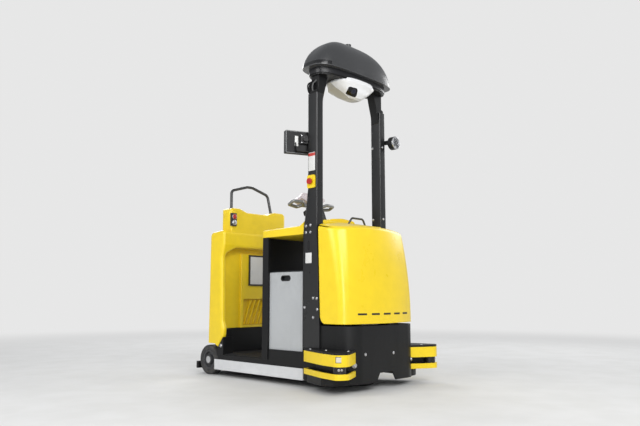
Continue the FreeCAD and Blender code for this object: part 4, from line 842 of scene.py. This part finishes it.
def pocket_rib(x):
    """Slanted fin: a thin plate leaning to the left and forward with height."""
    foot = np.array([x - 0.02, 0.706, 0.418])
    head = np.array([x + 0.035, 0.680, 0.634])
    half = np.linalg.norm(head - foot) / 2
    return plate((foot + head) / 2, X, (head - foot) / (2 * half), 0.004, half, 0.003,
                 slab(0.020, 0.002, 0.004))


piece("pocket_ribs", FINISHES["yellow_shell"].material,
      [pocket_rib(x) for x in np.linspace(-0.045, 0.155, 5)])


def mat_ribs():
    """Ribbed sheet: crest * clipped triangle wave across X, straight along Y, let into the mat at its rim."""
    low, high = corners("floor_mat")
    pitch, crest, sunk, slope = 0.012, 0.0016, -0.0004, 0.002
    half, start, end = high[0] - pitch, low[1] + pitch, 0.548
    x = np.linspace(-half, half, 63 * 8 + 1)
    wave = np.clip(np.abs(((x + half) / pitch) % 1 - 0.5) * 4 - 0.6, 0, 0.8) / 0.8
    lift = np.where(np.abs(x) < half - 1e-6, crest * wave, sunk)
    rows = [(start, sunk), (start + slope, lift), (end - slope, lift), (end, sunk)]
    return np.array([np.c_[x, np.full_like(x, y), MAT_TOP + height + 0 * x] for y, height in rows])


piece("mat_ribs", FINISHES["rubber_mat"].material, [mat_ribs()], wrap=False)


# ---------------------------------------------------------------- wiring under the mast head

LEADS = [(0.018, -0.488), (0.024, -0.474), (0.004, -0.500), (0.012, -0.480), (0.006, -0.492),
         (0.010, -0.512)]                            # how far each one stands out, and its y


def wiring(sign):
    """Short leads from the tray's underside, out and down to the pillar's top."""
    leads = []
    for reach, back in LEADS:
        points = [(0.372, 0, 0.002), (0.376, -0.002, -0.030), (0.400 + reach, 0.006, -0.078),
                  (0.394 + reach * 0.6, 0.014, -0.125), (0.386, 0.010, -0.152)]
        path = curve_through([(sign * x, back + y, TRAY_LOW + z) for x, y, z in points], 40)
        leads.append(pipe(path, 0.0058, 10))
    return leads


for side, sign in SIDES:
    leads = wiring(sign)
    piece("head_leads_" + side, CABLE.material, leads[:-1])
    piece("head_lead_grey_" + side, CABLE_GREY.material, leads[-1:])


# ---------------------------------------------------------------- floor, light and camera

BACKGROUND = (0.80, 0.80, 0.80)
FLOOR_RADIUS = 60


def studio_floor():
    """Wide disc: radius grows with the square of its parameter, so that faces are small near the middle.

    It fades to the background's colour far out, for the camera and in reflections.
    """
    sides = 96
    radius = np.linspace(0, 1, 24)[:, None, None] ** 2 * FLOOR_RADIUS
    t = np.linspace(0, 2 * np.pi, sides, endpoint=False)[None, :, None]
    grid = radius * np.concatenate([np.cos(t), np.sin(t), 0 * t], axis=2)
    pale = Finish("floor_pale", Specular_IOR_Level=0.2)
    far = ((pale.x ** 2 + pale.y ** 2) ** 0.5).rise(2.2, 9.0)
    speckle = pale.noise(3, 3).rise(0.3, 0.7)
    pale.wear(Base_Color=pale.mix((0.70, 0.70, 0.69), (0.74, 0.74, 0.735), speckle), Roughness=0.75)
    glow = pale.tree.nodes.new("ShaderNodeEmission")
    pale.feed(glow, {"Color": BACKGROUND, "Strength": 1.0})
    blend = pale.tree.nodes.new("ShaderNodeMixShader")
    seen = pale.node("LightPath", out="Is Camera Ray").most(pale.node("LightPath", out="Is Glossy Ray"))
    pale.feed(blend, {0: far * seen, 1: Value(pale, pale.shader.outputs[0]), 2: Value(pale, glow.outputs[0])})
    output = next(n for n in pale.tree.nodes if n.type == "OUTPUT_MATERIAL")
    pale.tree.links.new(blend.outputs[0], output.inputs[0])
    mesh = bpy.data.meshes.new("studio_floor")
    points = grid.reshape(-1, 3)
    index = np.arange(len(points)).reshape(grid.shape[:2])
    right = np.roll(index, -1, axis=1)
    faces = np.stack([index[:-1], index[1:], right[1:], right[:-1]], axis=-1).reshape(-1, 4)
    mesh.from_pydata(points.tolist(), [], faces[sides:].tolist())
    mesh.materials.append(pale.material)
    floor = bpy.data.objects.new("studio_floor", mesh)
    bpy.context.scene.collection.objects.link(floor)


studio_floor()

world = bpy.data.worlds.new("studio")
bpy.context.scene.world = world
world.use_nodes = True
tree = world.node_tree
tree.nodes.clear()
path = tree.nodes.new("ShaderNodeLightPath")
seen = tree.nodes.new("ShaderNodeMath")
seen.operation = "MAXIMUM"
tree.links.new(path.outputs["Is Camera Ray"], seen.inputs[0])
tree.links.new(path.outputs["Is Transmission Ray"], seen.inputs[1])
light, backdrop = (tree.nodes.new("ShaderNodeBackground") for _ in range(2))
light.inputs[0].default_value, light.inputs[1].default_value = (0.95, 0.97, 1.0, 1), 0.42
backdrop.inputs[0].default_value, backdrop.inputs[1].default_value = (*BACKGROUND, 1), 1.0
blend = tree.nodes.new("ShaderNodeMixShader")
tree.links.new(seen.outputs[0], blend.inputs[0])
tree.links.new(light.outputs[0], blend.inputs[1])
tree.links.new(backdrop.outputs[0], blend.inputs[2])
output = tree.nodes.new("ShaderNodeOutputWorld")
tree.links.new(blend.outputs[0], output.inputs[0])


def soft_box(name, place, aim, width, height, power):
    """Rectangular lamp that looks at a point."""
    lamp = bpy.data.lights.new(name, "AREA")
    lamp.shape, lamp.size, lamp.size_y, lamp.energy = "RECTANGLE", width, height, power
    item = bpy.data.objects.new(name, lamp)
    item.location = place
    way = np.array(aim, float) - np.array(place, float)
    yaw = math.atan2(-way[0], way[1])
    item.rotation_euler = (math.pi / 2 + math.atan2(way[2], math.hypot(way[0], way[1])), 0, yaw)
    bpy.context.scene.collection.objects.link(item)


soft_box("key_light", (-1.8, -5.2, 3.9), (0, 0, 1.0), 3.2, 2.6, 150)
soft_box("strip_light", (-4.8, -4.9, 2.4), (-0.4, -0.5, 1.6), 0.42, 4.2, 110)
soft_box("side_light", (-5.4, 0.4, 3.4), (0, 0, 0.9), 3.2, 2.6, 115)
soft_box("back_light", (2.4, 4.8, 4.0), (0, 0, 1.1), 3.4, 2.6, 120)
soft_box("far_light", (5.2, -0.8, 3.4), (0, 0, 1.1), 3.0, 2.6, 90)

camera = bpy.data.objects.new("camera", bpy.data.cameras.new("camera"))
camera.data.sensor_width = 36
camera.data.lens = 35.58
camera.data.clip_end = 200
camera.location = (-3.7323, -3.7799, 0.6616)
camera.rotation_euler = (math.radians(97.53), 0, math.radians(-46.1))
bpy.context.scene.collection.objects.link(camera)
bpy.context.scene.camera = camera
bpy.context.scene.view_settings.view_transform = "Standard"
